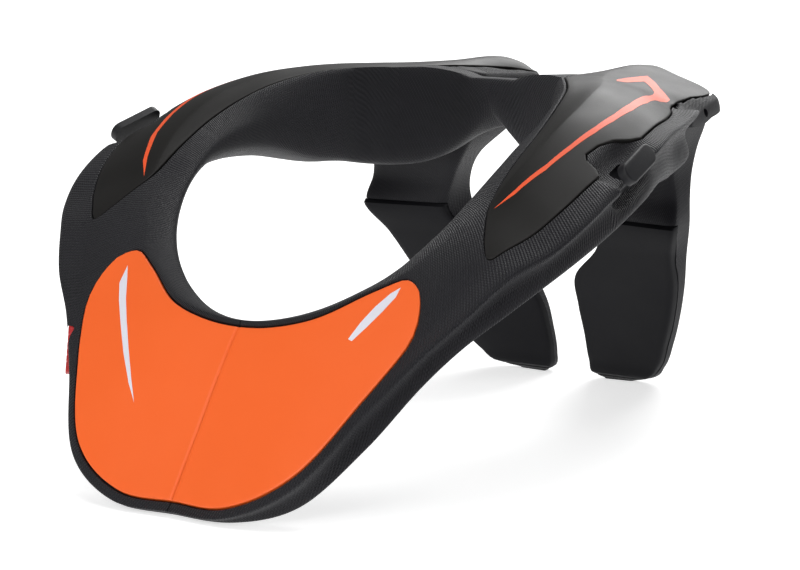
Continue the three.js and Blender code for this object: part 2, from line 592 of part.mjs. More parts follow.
// One loop of a leg: five plan corners, rounded, at one height or under the deck. Growing it
// gives the space that the padding leaves free.
function legLoop(corners, heightAt, grow) {
  const order = ['frontIn', 'frontOut', 'backOut', 'backMid', 'backIn'];
  const plan = order.map((key) => {
    const [across, along] = corners[key];
    return new THREE.Vector2((across * bodyHalfWidth) / 100, (along * bodyHalfDepth) / 100);
  });
  const middle = plan.reduce((sum, corner) => sum.add(corner), new THREE.Vector2()).divideScalar(plan.length);
  plan.forEach((corner) => corner.add(corner.clone().sub(middle).normalize().multiplyScalar(1.5 * grow)));
  const loop = [];
  plan.forEach((corner, index) => {
    const before = plan[(index + plan.length - 1) % plan.length];
    const after = plan[(index + 1) % plan.length];
    const start = corner.clone().lerp(before, legCornerRounding);
    const end = corner.clone().lerp(after, legCornerRounding);
    const bend = new THREE.QuadraticBezierCurve(start, corner, end);
    [0, 0.25, 0.5, 0.75, 1].forEach((share) => {
      const spot = bend.getPoint(share);
      loop.push(new THREE.Vector3(spot.x, spot.y, heightAt(spot.x, spot.y)));
    });
  });
  return loop;
}

function mirrored(loops, side) {
  return loops.map((loop) => loop.map((point) => new THREE.Vector3(point.x * side, point.y, point.z)));
}

// A small blind hole in the side rim of a wing.
function rimBore(side) {
  const x = (rimHole.across * bodyHalfWidth) / 100;
  const y = (rimHole.along * bodyHalfDepth) / 100;
  const z = (rimHole.rise * crestHeight) / 100;
  const bore = new THREE.CylinderGeometry(rimHole.radius, rimHole.radius, 2 * rimHole.depth, 16);
  bore.rotateZ(Math.PI / 2);
  bore.deleteAttribute('normal');
  bore.deleteAttribute('uv');
  return mergeVertices(bore.translate(side * x, y, z), 1e-4);
}

function backLeg(side, grow) {
  const loops = legSections.map((row) => legLoop(row, () => (row.z * crestHeight) / 100, grow));
  const underPlate = plateThickness + 2 * clearance - grow;
  const outline = legLoop(wingCorners, () => 0, grow);
  const [centreX, centreY] = [wingCentre[0] * 0.01 * bodyHalfWidth, wingCentre[1] * 0.01 * bodyHalfDepth];
  [1, 0.8, 0.5, 0.15].forEach((share) => {
    loops.push(outline.map((point) => {
      const x = lerp(centreX, point.x, share);
      const y = lerp(centreY, point.y, share);
      return new THREE.Vector3(x, y, deckHeight(x, y) - underPlate);
    }));
  });
  return solidFromLoops(mirrored(loops, side));
}

// The smooth pad let into the front of a leg, between the leg's front corners.
function legPad(side, grow) {
  const rows = legSections.filter((row) => row.z > 0 && row.z * crestHeight < legPadTop * 100);
  const heights = [...rows.map((row) => row.z), (legPadTop * 100) / crestHeight];
  const shares = [0, 0.08, 0.3, 0.5, 0.7, 0.92, 1];
  const front = [];
  const back = [];
  heights.forEach((z, index) => {
    const row = rows[index] ?? rows.at(-1);
    const [inX, inY] = row.frontIn;
    const [outX, outY] = row.frontOut;
    const depth = Math.min(legPadThickness, ((row.backIn[1] - inY) * 0.6 * bodyHalfDepth) / 100);
    const end = index === 0 ? -grow : index === heights.length - 1 ? grow : 0;
    const places = shares.map((share, column) => {
      const edge = column === 0 ? -grow : column === shares.length - 1 ? grow : 0;
      const x = (lerp(inX, outX, share) * bodyHalfWidth) / 100 + edge;
      const y = (lerp(inY, outY, share) * bodyHalfDepth) / 100 - legPadStep;
      return new THREE.Vector3(side * x, y, (z * crestHeight) / 100 + end);
    });
    front.push(places.map((point, column) => {
      const atEdge = column === 0 || column === shares.length - 1;
      return point.clone().setY(point.y + (atEdge ? legPadRounding : 0) - grow);
    }));
    back.push(places.map((point) => point.clone().setY(point.y + depth + grow)));
  });
  return solidFromSheets(front, back);
}

function part(name, geometry, color, roughness, metalness = 0) {
  const material = new THREE.MeshStandardMaterial({ color, roughness, metalness });
  const mesh = new THREE.Mesh(geometry, material);
  mesh.name = name;
  return mesh;
}

const sides = [['left', 1], ['right', -1]];
const wingEnd = [163.5, 166, 168.5, 171, 173.5];
const shoulderStations = [...shoulderAngles, ...wingAngles, ...wingEnd];
const tailStations = shoulderStations.slice(-8); // where the plate leaves the padding
const platesOf = (side, grow) => [
  deckPlate(chestBorders, chestAngles, side, chestProud, grow),
  deckPlate(shoulderBorders, shoulderStations, side, 0, grow),
];

const brace = new THREE.Group();
const padding = without(
  collarPadding(),
  ...sides.flatMap(([, side]) => [
    tabStemBlock(side, clearance),
    backLeg(side, clearance),
    deckPlate(shoulderBorders, tailStations, side, 0, clearance),
  ]),
  buttonWell(),
  frontClasp(clearance),
);
brace.add(part('collar_foam', padding, 0x1b1b1e, 0.7));
sides.forEach(([name, side]) => {
  const [chest, shoulder] = platesOf(side, 0);
  const leg = without(backLeg(side, 0), rimBore(side), legPad(side, clearance));
  brace.add(part(`chest_plate_${name}`, chest, 0xff5a1f, 0.4));
  brace.add(part(`shoulder_plate_${name}`, shoulder, 0x2a2b2e, 0.5));
  brace.add(part(`back_leg_${name}`, leg, 0x232326, 0.6));
  brace.add(part(`leg_pad_${name}`, legPad(side, 0), 0x17171a, 0.55));
  brace.add(part(`strap_tab_${name}`, strapTab(side), 0x1d1d20, 0.5));
});
brace.add(part('release_button', releaseButton(), 0xb3262b, 0.5));
brace.add(part('front_clasp', frontClasp(0), 0x2c2c30, 0.5));

// The origin is the middle of the whole brace's box, on the floor.
const whole = new THREE.Box3().setFromObject(brace);
const centre = whole.getCenter(new THREE.Vector3());
brace.children.forEach((mesh) => mesh.geometry.translate(-centre.x, -centre.y, -whole.min.z));

export default brace;
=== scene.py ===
"""Looks of the motocross neck brace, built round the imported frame.

Lengths are millimetres, measured from the neck's upright axis and the floor, apart from the studio's,
which are metres in the frame. The wearer faces -Y and the wearer's left is +X. Meshes are moved to the
frame's origin and metres as they are made.
"""

from __future__ import annotations

import logging
import math
from dataclasses import dataclass, field
from enum import Enum
from typing import Callable

import bmesh
import bpy
import numpy as np
from mathutils import Matrix, Vector


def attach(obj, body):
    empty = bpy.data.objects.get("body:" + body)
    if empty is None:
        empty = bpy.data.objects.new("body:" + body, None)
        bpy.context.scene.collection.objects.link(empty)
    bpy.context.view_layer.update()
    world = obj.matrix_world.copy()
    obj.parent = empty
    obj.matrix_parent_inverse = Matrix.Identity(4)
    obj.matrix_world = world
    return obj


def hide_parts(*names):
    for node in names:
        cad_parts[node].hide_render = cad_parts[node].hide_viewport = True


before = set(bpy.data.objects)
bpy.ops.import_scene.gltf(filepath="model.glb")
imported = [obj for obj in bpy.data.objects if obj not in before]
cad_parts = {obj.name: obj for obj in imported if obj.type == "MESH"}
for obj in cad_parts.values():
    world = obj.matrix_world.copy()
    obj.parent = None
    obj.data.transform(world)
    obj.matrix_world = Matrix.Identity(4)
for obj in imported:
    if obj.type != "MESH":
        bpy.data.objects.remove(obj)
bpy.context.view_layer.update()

LOG = logging.getLogger("neck_brace")
MM = 0.001
AXIS_Y = -15.285  # the neck's axis in the frame
MERGE = 0.002  # lofted points closer than this become one
SHARP_ANGLE = 40.0  # degrees, edges sharper than this are softened
CORNER_SEGMENTS = 8  # steps round a block's upright edge
PLACES = ("in", "ridge", "line", "out")  # the deck's edges and folds, outwards

Grid = np.ndarray
Colour = tuple[float, float, float]
PlanPoint = tuple[float, float]


class Side(Enum):
    """The wearer's side, with the sign of its X."""

    LEFT = 1
    RIGHT = -1

    @property
    def word(self) -> str:
        """The side's name in a piece's name."""
        return self.name.lower()

    @property
    def flip(self) -> Grid:
        """Factors that turn points of the wearer's left into this side's."""
        return np.array([self.value, 1.0, 1.0])


def smoothstep(low: float, high: float, value: Grid) -> Grid:
    """Runs from 0 at low to 1 at high with level ends."""
    share = np.clip((np.asarray(value, float) - low) / (high - low), 0.0, 1.0)
    return share * share * (3.0 - 2.0 * share)


def soft_corner(value: Grid, width: float) -> Grid:
    """Runs from 0 up the diagonal, with a corner as wide as given."""
    return (value + np.sqrt(value * value + width * width)) / 2.0


def entry(values: Grid, index: Grid) -> Grid:
    """Takes one entry of the last axis."""
    return np.take_along_axis(values, index[..., None], axis=-1)[..., 0]


def raised(plan: Grid, heights: Grid) -> Grid:
    """Puts places in plan at their heights."""
    return np.concatenate([plan, heights[..., None]], axis=-1)


def close_round(sections: Grid) -> Grid:
    """Repeats each section's first point at its end."""
    return np.concatenate([sections, sections[:, :1]], axis=1)


def lengths_round(sections: Grid) -> Grid:
    """Lengths from the first point round each section and back to it."""
    steps = np.linalg.norm(np.diff(close_round(sections), axis=1), axis=-1)
    return np.concatenate([np.zeros((len(steps), 1)), np.cumsum(steps, axis=1)], axis=1)


@dataclass(frozen=True)
class Rows:
    """A table whose columns run along its first one."""

    names: tuple[str, ...]
    rows: tuple[tuple[float, ...], ...]

    def columns(self) -> tuple[Grid, Grid]:
        """Gives the first column, and all the others."""
        table = np.array(self.rows, float)
        return table[:, 0], table[:, 1:]

    def smooth(self, at: Grid) -> dict[str, Grid]:
        """Reads every column on a smooth curve through its rows.

        Args:
            at: Places along the first column.

        Returns:
            The values at those places, by column name.
        """
        keys, values = self.columns()
        at = np.clip(np.asarray(at, float), keys[0], keys[-1])
        secants = np.diff(values, axis=0) / np.diff(keys)[:, None]
        slopes = np.zeros_like(values)
        slopes[1:-1] = (secants[1:] + secants[:-1]) / 2.0
        slopes[-1] = secants[-1] / 2.0
        step = np.clip(np.searchsorted(keys, at, side="right") - 1, 0, len(keys) - 2)
        width = keys[step + 1] - keys[step]
        share = (at - keys[step]) / width
        result = {}
        for index, name in enumerate(self.names[1:]):
            column, slope = values[:, index], slopes[:, index]
            ends = (column[step], column[step + 1], slope[step], slope[step + 1])
            result[name] = hermite(share, width, *ends)
        return result

    def straight(self, at: Grid) -> dict[str, Grid]:
        """Reads every column on straight lines between its rows."""
        keys, values = self.columns()
        return {name: np.interp(at, keys, values[:, index]) for index, name in enumerate(self.names[1:])}


def hermite(share: Grid, width: Grid, start: Grid, end: Grid, slope_in: Grid, slope_out: Grid) -> Grid:
    """A cubic between two values with given slopes.

    Args:
        share: Where between the two, from 0 to 1.
        width: Distance between them.
        start: The first value.
        end: The second value.
        slope_in: Slope at the first.
        slope_out: Slope at the second.

    Returns:
        The cubic's value.
    """
    square, cube = share * share, share * share * share
    value = (2 * cube - 3 * square + 1) * start + (3 * square - 2 * cube) * end
    return value + (cube - 2 * square + share) * width * slope_in + (cube - square) * width * slope_out


@dataclass(frozen=True)
class Deck:
    """The top surface that the plates lie in.

    The angle runs from the front seam (0) over the shoulder (90) to the back (180). Radii are
    hundredths of the body's half width and half depth, heights hundredths of the crest's height.
    """

    half_width: float = 118.0
    half_depth: float = 118.0
    crest: float = 135.0
    ridge_softness: float = 0.7
    line_softness: float = 6.0
    crispness: float = 0.9
    crisp_from: tuple[float, float] = (56.0, 64.0)
    crisp_until: tuple[float, float] = (158.0, 166.0)
    slope_inside: float = 0.07
    slope_outside: float = 0.5
    normal_reach: float = 0.35
    sections: Rows = Rows(
        ("angle", "in_r", "in_z", "ridge_r", "ridge_z", "line_r", "line_z", "out_r", "out_z"),
        (
            (0, 63.6, 46.3, 74.6, 34.3, 87, 19.2, 100.8, 2.6),
            (12, 65, 47.4, 76.3, 35.4, 89.8, 19.6, 103.6, 3.6),
            (24, 67, 50.4, 78, 39.8, 90.6, 27, 103.4, 13),
            (36, 67.4, 55.6, 75.6, 49.4, 85.2, 41.2, 95.4, 32),
            (46, 69.4, 60.4, 75.5, 56.8, 82.4, 52.2, 90, 46.2),
            (54, 69.5, 66.2, 75, 64.2, 81.4, 61.2, 89, 56.2),
            (62, 69, 71.9, 74.2, 71, 80.5, 69.2, 89.2, 65.4),
            (70, 67.4, 77, 70.5, 77.5, 75.2, 77.2, 92.4, 71),
            (76, 65.3, 81.4, 69.6, 82.6, 75.2, 82.4, 93.8, 76.2),
            (84, 63.1, 86, 69.5, 87.8, 77.6, 87.4, 94, 82),
            (98, 61.6, 91.8, 70, 94.5, 82.2, 93.6, 93.7, 88),
            (111, 61.8, 96, 71.7, 98.2, 85.6, 97, 95, 91.4),
            (120, 62.8, 98, 73.8, 100, 88, 98.4, 97.6, 91.8),
            (130, 64.8, 99.6, 77, 100.6, 90.6, 98.4, 100.4, 91.4),
            (138, 66.6, 100.2, 79.8, 100.6, 92.6, 97.8, 103.6, 91),
            (145, 69, 100.2, 83, 100.2, 97, 97, 110.8, 90.4),
            (149, 71, 100, 86.4, 99.8, 103.4, 96.4, 123.4, 90),
            (153, 73.4, 99.6, 90, 99.4, 111, 96, 134.4, 90),
            (157, 79, 99.2, 95.4, 99, 116, 96.2, 136.2, 91.6),
            (161, 88, 98.6, 102.6, 98.6, 117.8, 97.2, 133, 94.4),
            (166, 102.6, 97, 112, 97.8, 121.4, 98, 131, 97),
            (170, 115.6, 95.2, 120, 96, 124.2, 96.2, 128.6, 95.6),
            (173.5, 123.4, 93.4, 123.8, 93.4, 124.2, 93.4, 124.6, 93.4),
        ),
    )

    def radii(self, angle: Grid) -> Grid:
        """The four radii at each angle, along a last axis."""
        row = self.sections.smooth(angle)
        return np.stack([row[f"{place}_r"] for place in PLACES], axis=-1)

    def rise(self, angle: Grid, radius: Grid) -> Grid:
        """The surface's height, in hundredths.

        Args:
            angle: Angles round the neck.
            radius: Radii at those angles.

        Returns:
            Heights, with a crisp fold along the ridge where the shoulder plates lie.
        """
        row = self.sections.smooth(angle)
        radii, heights = (
            np.stack([row[f"{place}_{kind}"] for place in PLACES], axis=-1) for kind in ("r", "z")
        )
        widths = np.diff(radii, axis=-1)
        secants = np.diff(heights, axis=-1) / widths
        middles = (secants[..., 1:] + secants[..., :-1]) / 2.0
        slopes = np.concatenate([secants[..., :1], middles, secants[..., -1:]], axis=-1)
        step = (radius >= radii[..., 1]).astype(int) + (radius >= radii[..., 2]).astype(int)
        width = entry(widths, step)
        share = (radius - entry(radii, step)) / width
        ends = (entry(heights, step), entry(heights, step + 1))
        smooth = hermite(share, width, *ends, entry(slopes, step), entry(slopes, step + 1))
        folded = self.folded(radii, heights, secants, radius)
        fold_in, fold_out = smoothstep(*self.crisp_from, angle), smoothstep(*self.crisp_until, angle)
        value = smooth + (folded - smooth) * (self.crispness * fold_in * (1 - fold_out))
        inside = heights[..., 0] + (radii[..., 0] - radius) * self.slope_inside
        outside = heights[..., 3] - (radius - radii[..., 3]) * self.slope_outside
        value = np.where(radius < radii[..., 0], inside, value)
        return np.where(radius > radii[..., 3], outside, value)

    def folded(self, radii: Grid, heights: Grid, secants: Grid, radius: Grid) -> Grid:
        """Heights on straight lines between the four places, with a tight ridge and a soft line.

        Args:
            radii: The four radii.
            heights: Their heights.
            secants: Slopes between them.
            radius: Where to read.

        Returns:
            Heights that meet the first and last ones.
        """
        turns = np.diff(secants, axis=-1)

        def raw(place: Grid) -> Grid:
            """The folded lines before their ends are matched.

            Args:
                place: Radii to read at.

            Returns:
                Heights, in hundredths.
            """
            ridge = turns[..., 0] * soft_corner(place - radii[..., 1], self.ridge_softness)
            line = turns[..., 1] * soft_corner(place - radii[..., 2], self.line_softness)
            return heights[..., 0] + secants[..., 0] * (place - radii[..., 0]) + ridge + line

        share = np.clip((radius - radii[..., 0]) / (radii[..., 3] - radii[..., 0]), 0, 1)
        start = heights[..., 0] - raw(radii[..., 0])
        end = heights[..., 3] - raw(radii[..., 3])
        return raw(radius) + start * (1 - share) + end * share

    def place(self, angle: Grid, radius: Grid, rise: Grid) -> Grid:
        """Points at given angles, radii and heights.

        Args:
            angle: Angles round the neck.
            radius: Radii, in hundredths.
            rise: Heights, in hundredths.

        Returns:
            Points in millimetres, along a last axis.
        """
        turn = np.radians(angle)
        x = np.sin(turn) * radius * self.half_width / 100
        y = -np.cos(turn) * radius * self.half_depth / 100
        return np.stack([x, y, rise * self.crest / 100], axis=-1)

    def height(self, x: Grid, y: Grid) -> Grid:
        """The surface's height over places in plan.

        Args:
            x: Places across the body.
            y: Places along it.

        Returns:
            Heights in millimetres.
        """
        across = 100 * np.abs(x) / self.half_width
        along = 100 * y / self.half_depth
        angle = np.degrees(np.arctan2(across, -along))
        return self.rise(angle, np.hypot(across, along)) * self.crest / 100

    def normal(self, points: Grid) -> Grid:
        """Upward normals over points' places in plan.

        Args:
            points: Points on or near the surface.

        Returns:
            Unit vectors.
        """
        x, y, reach = points[..., 0], points[..., 1], self.normal_reach
        slope_x = (self.height(x + reach, y) - self.height(x - reach, y)) / (2 * reach)
        slope_y = (self.height(x, y + reach) - self.height(x, y - reach)) / (2 * reach)
        normal = np.stack([-slope_x, -slope_y, np.ones_like(slope_x)], axis=-1)
        return normal / np.linalg.norm(normal, axis=-1, keepdims=True)

    def sunk(self, angle: Grid, radius: Grid, depth: Grid) -> Grid:
        """Points of the surface, pressed in along its normals."""
        points = self.place(angle, radius, self.rise(angle, radius))
        return points - self.normal(points) * np.asarray(depth)[..., None]

    def radius_at(self, angle: Grid, along: Grid) -> Grid:
        """The radius between the inner edge (0), ridge (1), line (2) and outer edge (3).

        Args:
            angle: Angles round the neck.
            along: Places between those edges.

        Returns:
            Radii, in hundredths.
        """
        radii = self.radii(angle)
        step = np.clip(np.floor(along), 0, 2).astype(int)
        low, high = entry(radii, step), entry(radii, step + 1)
        return low + (high - low) * (along - step)


DECK = Deck()

CHEST_BORDERS = Rows(
    ("angle", "inner", "outer"),
    (
        (0, 0.08, 2.94), (38, 0.08, 2.94), (42, 0.09, 2.93), (44, 0.12, 2.89), (45.6, 0.2, 2.76),
        (46.8, 0.38, 2.52), (47.5, 0.62, 2.26), (48, 0.92, 1.98), (48.25, 1.2, 1.7), (48.35, 1.4, 1.5),
    ),
)
SHOULDER_BORDERS = Rows(
    ("angle", "inner", "outer"),
    (
        (61.2, 2.64, 2.72), (61.25, 2.56, 2.78), (61.45, 2.44, 2.85), (61.8, 2.3, 2.9), (62.5, 2.08, 2.94),
        (64, 1.72, 2.95), (66.5, 1.22, 2.95), (69, 0.76, 2.95), (71, 0.46, 2.95), (73, 0.27, 2.95),
        (76, 0.15, 2.95), (80, 0.08, 2.95), (84, 0.06, 2.95), (86.6, 0.06, 2.95), (87.6, 0.06, 2.82),
        (88.6, 0.06, 2.48), (90, 0.06, 2.36), (94, 0.06, 2.36), (98, 0.06, 2.5), (101, 0.06, 2.76),
        (104, 0.06, 2.93), (144, 0.06, 2.93), (146, 0.06, 2.86), (149, 0.06, 2.76), (153, 0.06, 2.86),
        (157, 0.06, 2.93), (180, 0.06, 2.94),
    ),
)


def to_frame(points: Grid) -> Grid:
    """Moves points from the neck's axis in millimetres to the frame in metres."""
    return (points + np.array([0.0, AXIS_Y, 0.0])) * MM


class Bench:
    """Makes meshes with Blender's own tools."""

    @staticmethod
    def clear() -> None:
        """Leaves object mode with nothing selected."""
        if bpy.context.object and bpy.context.object.mode != "OBJECT":
            bpy.ops.object.mode_set(mode="OBJECT")
        bpy.ops.object.select_all(action="DESELECT")

    @staticmethod
    def hold(piece: bpy.types.Object) -> None:
        """Makes one piece the only selected and active one.

        Args:
            piece: The piece to hold.
        """
        Bench.clear()
        piece.select_set(True)
        bpy.context.view_layer.objects.active = piece

    @staticmethod
    def edit(piece: bpy.types.Object) -> None:
        """Opens a piece for editing with nothing selected.

        Args:
            piece: The piece to open.
        """
        Bench.hold(piece)
        bpy.ops.object.mode_set(mode="EDIT")
        bpy.ops.mesh.select_mode(type="EDGE")
        bpy.ops.mesh.select_all(action="DESELECT")

    @staticmethod
    def face_outwards() -> None:
        """Points all faces of the piece in edit mode outwards and closes it."""
        bpy.ops.mesh.select_all(action="SELECT")
        bpy.ops.mesh.normals_make_consistent(inside=False)
        bpy.ops.object.mode_set(mode="OBJECT")

    @staticmethod
    def choose(
        piece: bpy.types.Object,
        faces: Callable[[bmesh.types.BMFace], bool] | None = None,
        edges: Callable[[bmesh.types.BMEdge], bool] | None = None,
    ) -> None:
        """Selects faces or edges of the piece in edit mode by a test.

        Args:
            piece: The piece in edit mode.
            faces: Test for faces, if faces are chosen.
            edges: Test for edges, if edges are chosen.
        """
        mesh = bmesh.from_edit_mesh(piece.data)
        for part in (*mesh.faces, *mesh.edges, *mesh.verts):
            part.select = False
        for face in mesh.faces if faces else ():
            face.select_set(faces(face))
        for edge in mesh.edges if edges else ():
            if edges(edge):
                edge.select_set(True)
        bmesh.update_edit_mesh(piece.data)

    @staticmethod
    def finish(piece: bpy.types.Object, angle: float) -> None:
        """Shades a piece smooth apart from folds sharper than the angle."""
        Bench.hold(piece)
        bpy.ops.object.shade_smooth_by_angle(angle=math.radians(angle))

    @staticmethod
    def apply(piece: bpy.types.Object, kind: str, **settings: object) -> None:
        """Adds a modifier and applies it.

        Args:
            piece: The piece to change.
            kind: The modifier's type.
            **settings: Its values.
        """
        Bench.hold(piece)
        modifier = piece.modifiers.new(kind.title(), kind)
        for key, value in settings.items():
            setattr(modifier, key, value)
        bpy.ops.object.modifier_apply(modifier=modifier.name)

    @staticmethod
    def cut(piece: bpy.types.Object, cutter: bpy.types.Object) -> None:
        """Cuts a shape out of a piece and removes the cutter."""
        Bench.apply(piece, "BOOLEAN", object=cutter, operation="DIFFERENCE", solver="EXACT")
        bpy.data.objects.remove(cutter)

    @staticmethod
    def soften(piece: bpy.types.Object, width: float) -> None:
        """Gives a piece's sharp edges a narrow bevel."""
        limit = math.radians(SHARP_ANGLE)
        Bench.apply(piece, "BEVEL", width=width * MM, segments=2, limit_method="ANGLE", angle_limit=limit)

    @staticmethod
    def sheet(name: str, points: Grid, grain: Grid | None = None) -> bpy.types.Object:
        """A grid with its vertices laid on given points.

        Args:
            name: The piece's name.
            points: Places as rows by columns by three.
            grain: Lengths for the UV map, one pair for each point, or None.

        Returns:
            The grid, in the frame.
        """
        rows, columns = points.shape[:2]
        Bench.clear()
        bpy.ops.mesh.primitive_grid_add(x_subdivisions=columns - 1, y_subdivisions=rows - 1, size=1)
        piece = bpy.context.object
        piece.name = piece.data.name = name
        flat = to_frame(points).reshape(-1, 3)
        piece.data.vertices.foreach_set("co", flat.astype(np.float32).ravel())
        if grain is not None:
            corners = np.zeros(len(piece.data.loops), np.int32)
            piece.data.loops.foreach_get("vertex_index", corners)
            layer = piece.data.uv_layers.active
            layer.data.foreach_set("uv", grain.reshape(-1, 2)[corners].astype(np.float32).ravel())
        piece.data.update()
        return piece

    @staticmethod
    def loft(name: str, sections: Grid, grain: Grid | None = None, angle: float = 38.0) -> bpy.types.Object:
        """A closed solid through equal closed sections, with flat ends.

        Args:
            name: The piece's name.
            sections: Points as rows by columns by three, each row one closed section.
            grain: Lengths along and round the piece for its UV map, one pair for each point and
                one more column that closes the section.
            angle: Folds sharper than this stay sharp.

        Returns:
            The piece, in the frame.
        """
        piece = Bench.sheet(name, close_round(sections), grain)
        Bench.edit(piece)
        bpy.ops.mesh.select_all(action="SELECT")
        bpy.ops.mesh.remove_doubles(threshold=MERGE * MM)
        bpy.ops.mesh.dissolve_degenerate(threshold=MERGE / 2 * MM)
        bpy.ops.mesh.select_all(action="SELECT")
        bpy.ops.mesh.fill_holes(sides=0)
        Bench.face_outwards()
        Bench.finish(piece, angle)
        return piece

    @staticmethod
    def block(name: str, size: tuple[float, float, float], rounding: float) -> bpy.types.Object:
        """A block with rounded upright edges, its outer face at height 0.

        Args:
            name: The piece's name.
            size: Length, height and thickness.
            rounding: Radius of the four upright edges.

        Returns:
            The block round the origin, in metres.
        """
        Bench.clear()
        length, height, thickness = (value * MM for value in size)
        bpy.ops.mesh.primitive_cube_add(size=1, location=(0, 0, -thickness / 2))
        piece = bpy.context.object
        piece.name = piece.data.name = name
        piece.data.transform(Matrix.Diagonal((length, height, thickness, 1.0)))
        piece.data.transform(Matrix.Translation(piece.location))
        piece.location = (0, 0, 0)
        Bench.edit(piece)
        Bench.choose(piece, edges=lambda edge: abs(edge.verts[0].co.z - edge.verts[1].co.z) > thickness / 2)
        bpy.ops.mesh.bevel(offset=rounding * MM, segments=CORNER_SEGMENTS, affect="EDGES")
        bpy.ops.object.mode_set(mode="OBJECT")
        return piece

    @staticmethod
    def stand(piece: bpy.types.Object, point: Vector, along: Vector, facing: Vector) -> None:
        """Stands a block on a surface.

        Args:
            piece: A block whose length is its X and whose outer face looks along its Z.
            point: Where the middle of the outer face goes.
            along: Direction of the length.
            facing: Direction of the outer face.
        """
        across = facing.cross(along).normalized()
        length = across.cross(facing).normalized()
        turned = Matrix((length, across, facing.normalized())).transposed().to_4x4()
        moved = Matrix.Translation(Vector(to_frame(np.array(point))))
        piece.data.transform(moved @ turned)

    @staticmethod
    def dress(piece: bpy.types.Object, finish: "Finish", slot: str, body: str, *nodes: str) -> None:
        """Gives a piece its finish and body, and hides the frame's nodes that it stands for.

        Args:
            piece: The finished mesh.
            finish: Its finish.
            slot: Not used.
            body: The frame's body that it moves with.
            *nodes: The nodes that it replaces.
        """
        piece.data.materials.clear()
        piece.data.materials.append(finish.material())
        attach(piece, body)
        if nodes:
            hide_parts(*nodes)
        LOG.info("%s: %d faces", piece.name, len(piece.data.polygons))


class Signal:
    """A shader socket that can be used in sums."""

    def __init__(self, board: "Board", socket: bpy.types.NodeSocket) -> None:
        """Wraps a socket of a board's node."""
        self.board = board
        self.socket = socket

    def joined(self, operation: str, first: object, second: object = 0.0) -> "Signal":
        """Adds a Math node on two values."""
        return self.board.add("ShaderNodeMath", {"operation": operation}, {0: first, 1: second})

    def __add__(self, other: object) -> "Signal":
        """Sum."""
        return self.joined("ADD", self, other)

    def __radd__(self, other: object) -> "Signal":
        """Sum, from the right."""
        return self.joined("ADD", other, self)

    def __sub__(self, other: object) -> "Signal":
        """Difference."""
        return self.joined("SUBTRACT", self, other)

    def __rsub__(self, other: object) -> "Signal":
        """Difference, from the right."""
        return self.joined("SUBTRACT", other, self)

    def __mul__(self, other: object) -> "Signal":
        """Product."""
        return self.joined("MULTIPLY", self, other)

    def __rmul__(self, other: object) -> "Signal":
        """Product, from the right."""
        return self.joined("MULTIPLY", other, self)

    def sine(self) -> "Signal":
        """Sine of an angle in radians."""
        return self.joined("SINE", self)


class Board:
    """One material's node tree."""

    def __init__(self, name: str) -> None:
        """Starts a material with only its shader and output.

        Args:
            name: The material's name.
        """
        self.material = bpy.data.materials.new(name)
        self.material.use_nodes = True
        self.tree = self.material.node_tree
        self.tree.nodes.clear()
        self.shader = self.tree.nodes.new("ShaderNodeBsdfPrincipled")
        output = self.tree.nodes.new("ShaderNodeOutputMaterial")
        self.tree.links.new(self.shader.outputs["BSDF"], output.inputs["Surface"])

    def add(
        self,
        kind: str,
        settings: dict[str, object] | None = None,
        sockets: dict[str | int, object] | None = None,
        output: str | int = 0,
    ) -> Signal:
        """Adds a node.

        Args:
            kind: The node's type.
            settings: Values set before its sockets, such as an operation.
            sockets: Values or signals for its sockets.
            output: Which output to give back.

        Returns:
            That output.
        """
        node = self.tree.nodes.new(kind)
        for key, value in (settings or {}).items():
            setattr(node, key, value)
        for key, value in (sockets or {}).items():
            self.connect(value, node.inputs[key])
        return Signal(self, node.outputs[output])

    def connect(self, value: object, socket: bpy.types.NodeSocket) -> None:
        """Links a signal to a socket, or sets the socket's value.

        Args:
            value: A signal or a plain value.
            socket: The socket that takes it.
        """
        if isinstance(value, Signal):
            self.tree.links.new(value.socket, socket)
        else:
            socket.default_value = value

    def set(self, **values: object) -> None:
        """Sets or links the shader's sockets, named with underscores for spaces."""
        for key, value in values.items():
            self.connect(value, self.shader.inputs[key.replace("_", " ")])

    def noise(self, scale: float, detail: float) -> Signal:
        """Noise round one half over the piece: its cells per metre and its finer layers."""
        spot = self.add("ShaderNodeTexCoord", output="Object")
        return self.add("ShaderNodeTexNoise", sockets={"Vector": spot, "Scale": scale, "Detail": detail})

    def mix(self, share: object, first: Colour, second: Colour) -> Signal:
        """Mixes two colours by a share."""
        sockets = {0: share, 6: (*first, 1.0), 7: (*second, 1.0)}
        return self.add("ShaderNodeMix", {"data_type": "RGBA"}, sockets, output=2)

    def bump(self, height: Signal, depth: float) -> Signal:
        """A bump from a height field, with its depth in millimetres."""
        sockets = {"Height": height, "Distance": depth * MM, "Strength": 1.0}
        return self.add("ShaderNodeBump", sockets=sockets)


@dataclass(frozen=True)
class Finish:
    """A moulded satin surface with a fine grain."""

    name: str = "satin"
    light: Colour = (0.05, 0.05, 0.05)
    dark: Colour = (0.03, 0.03, 0.03)
    roughness: float = 0.45
    roughness_spread: float = 0.12
    grain_scale: float = 2600.0
    grain_detail: float = 2.0
    grain_depth: float = 0.03
    patch_scale: float = 60.0
    patch_detail: float = 4.0
    patch_share: float = 0.7
    gloss: float = 0.5

    def material(self) -> bpy.types.Material:
        """Gives the material, made once.

        Returns:
            The material, with its nodes.
        """
        made = bpy.data.materials.get(self.name)
        if made is not None:
            return made
        board = Board(self.name)
        self.paint(board)
        return board.material

    def paint(self, board: Board) -> None:
        """Fills the material's board.

        Args:
            board: The empty board.
        """
        patches = board.noise(self.patch_scale, self.patch_detail)
        grain = board.noise(self.grain_scale, self.grain_detail)
        tone = patches * self.patch_share + grain * (1 - self.patch_share)
        board.set(
            Base_Color=board.mix(tone, self.dark, self.light),
            Roughness=self.roughness + (patches - 0.5) * self.roughness_spread,
            Normal=board.bump(grain, self.grain_depth),
            Specular_IOR_Level=self.gloss,
        )


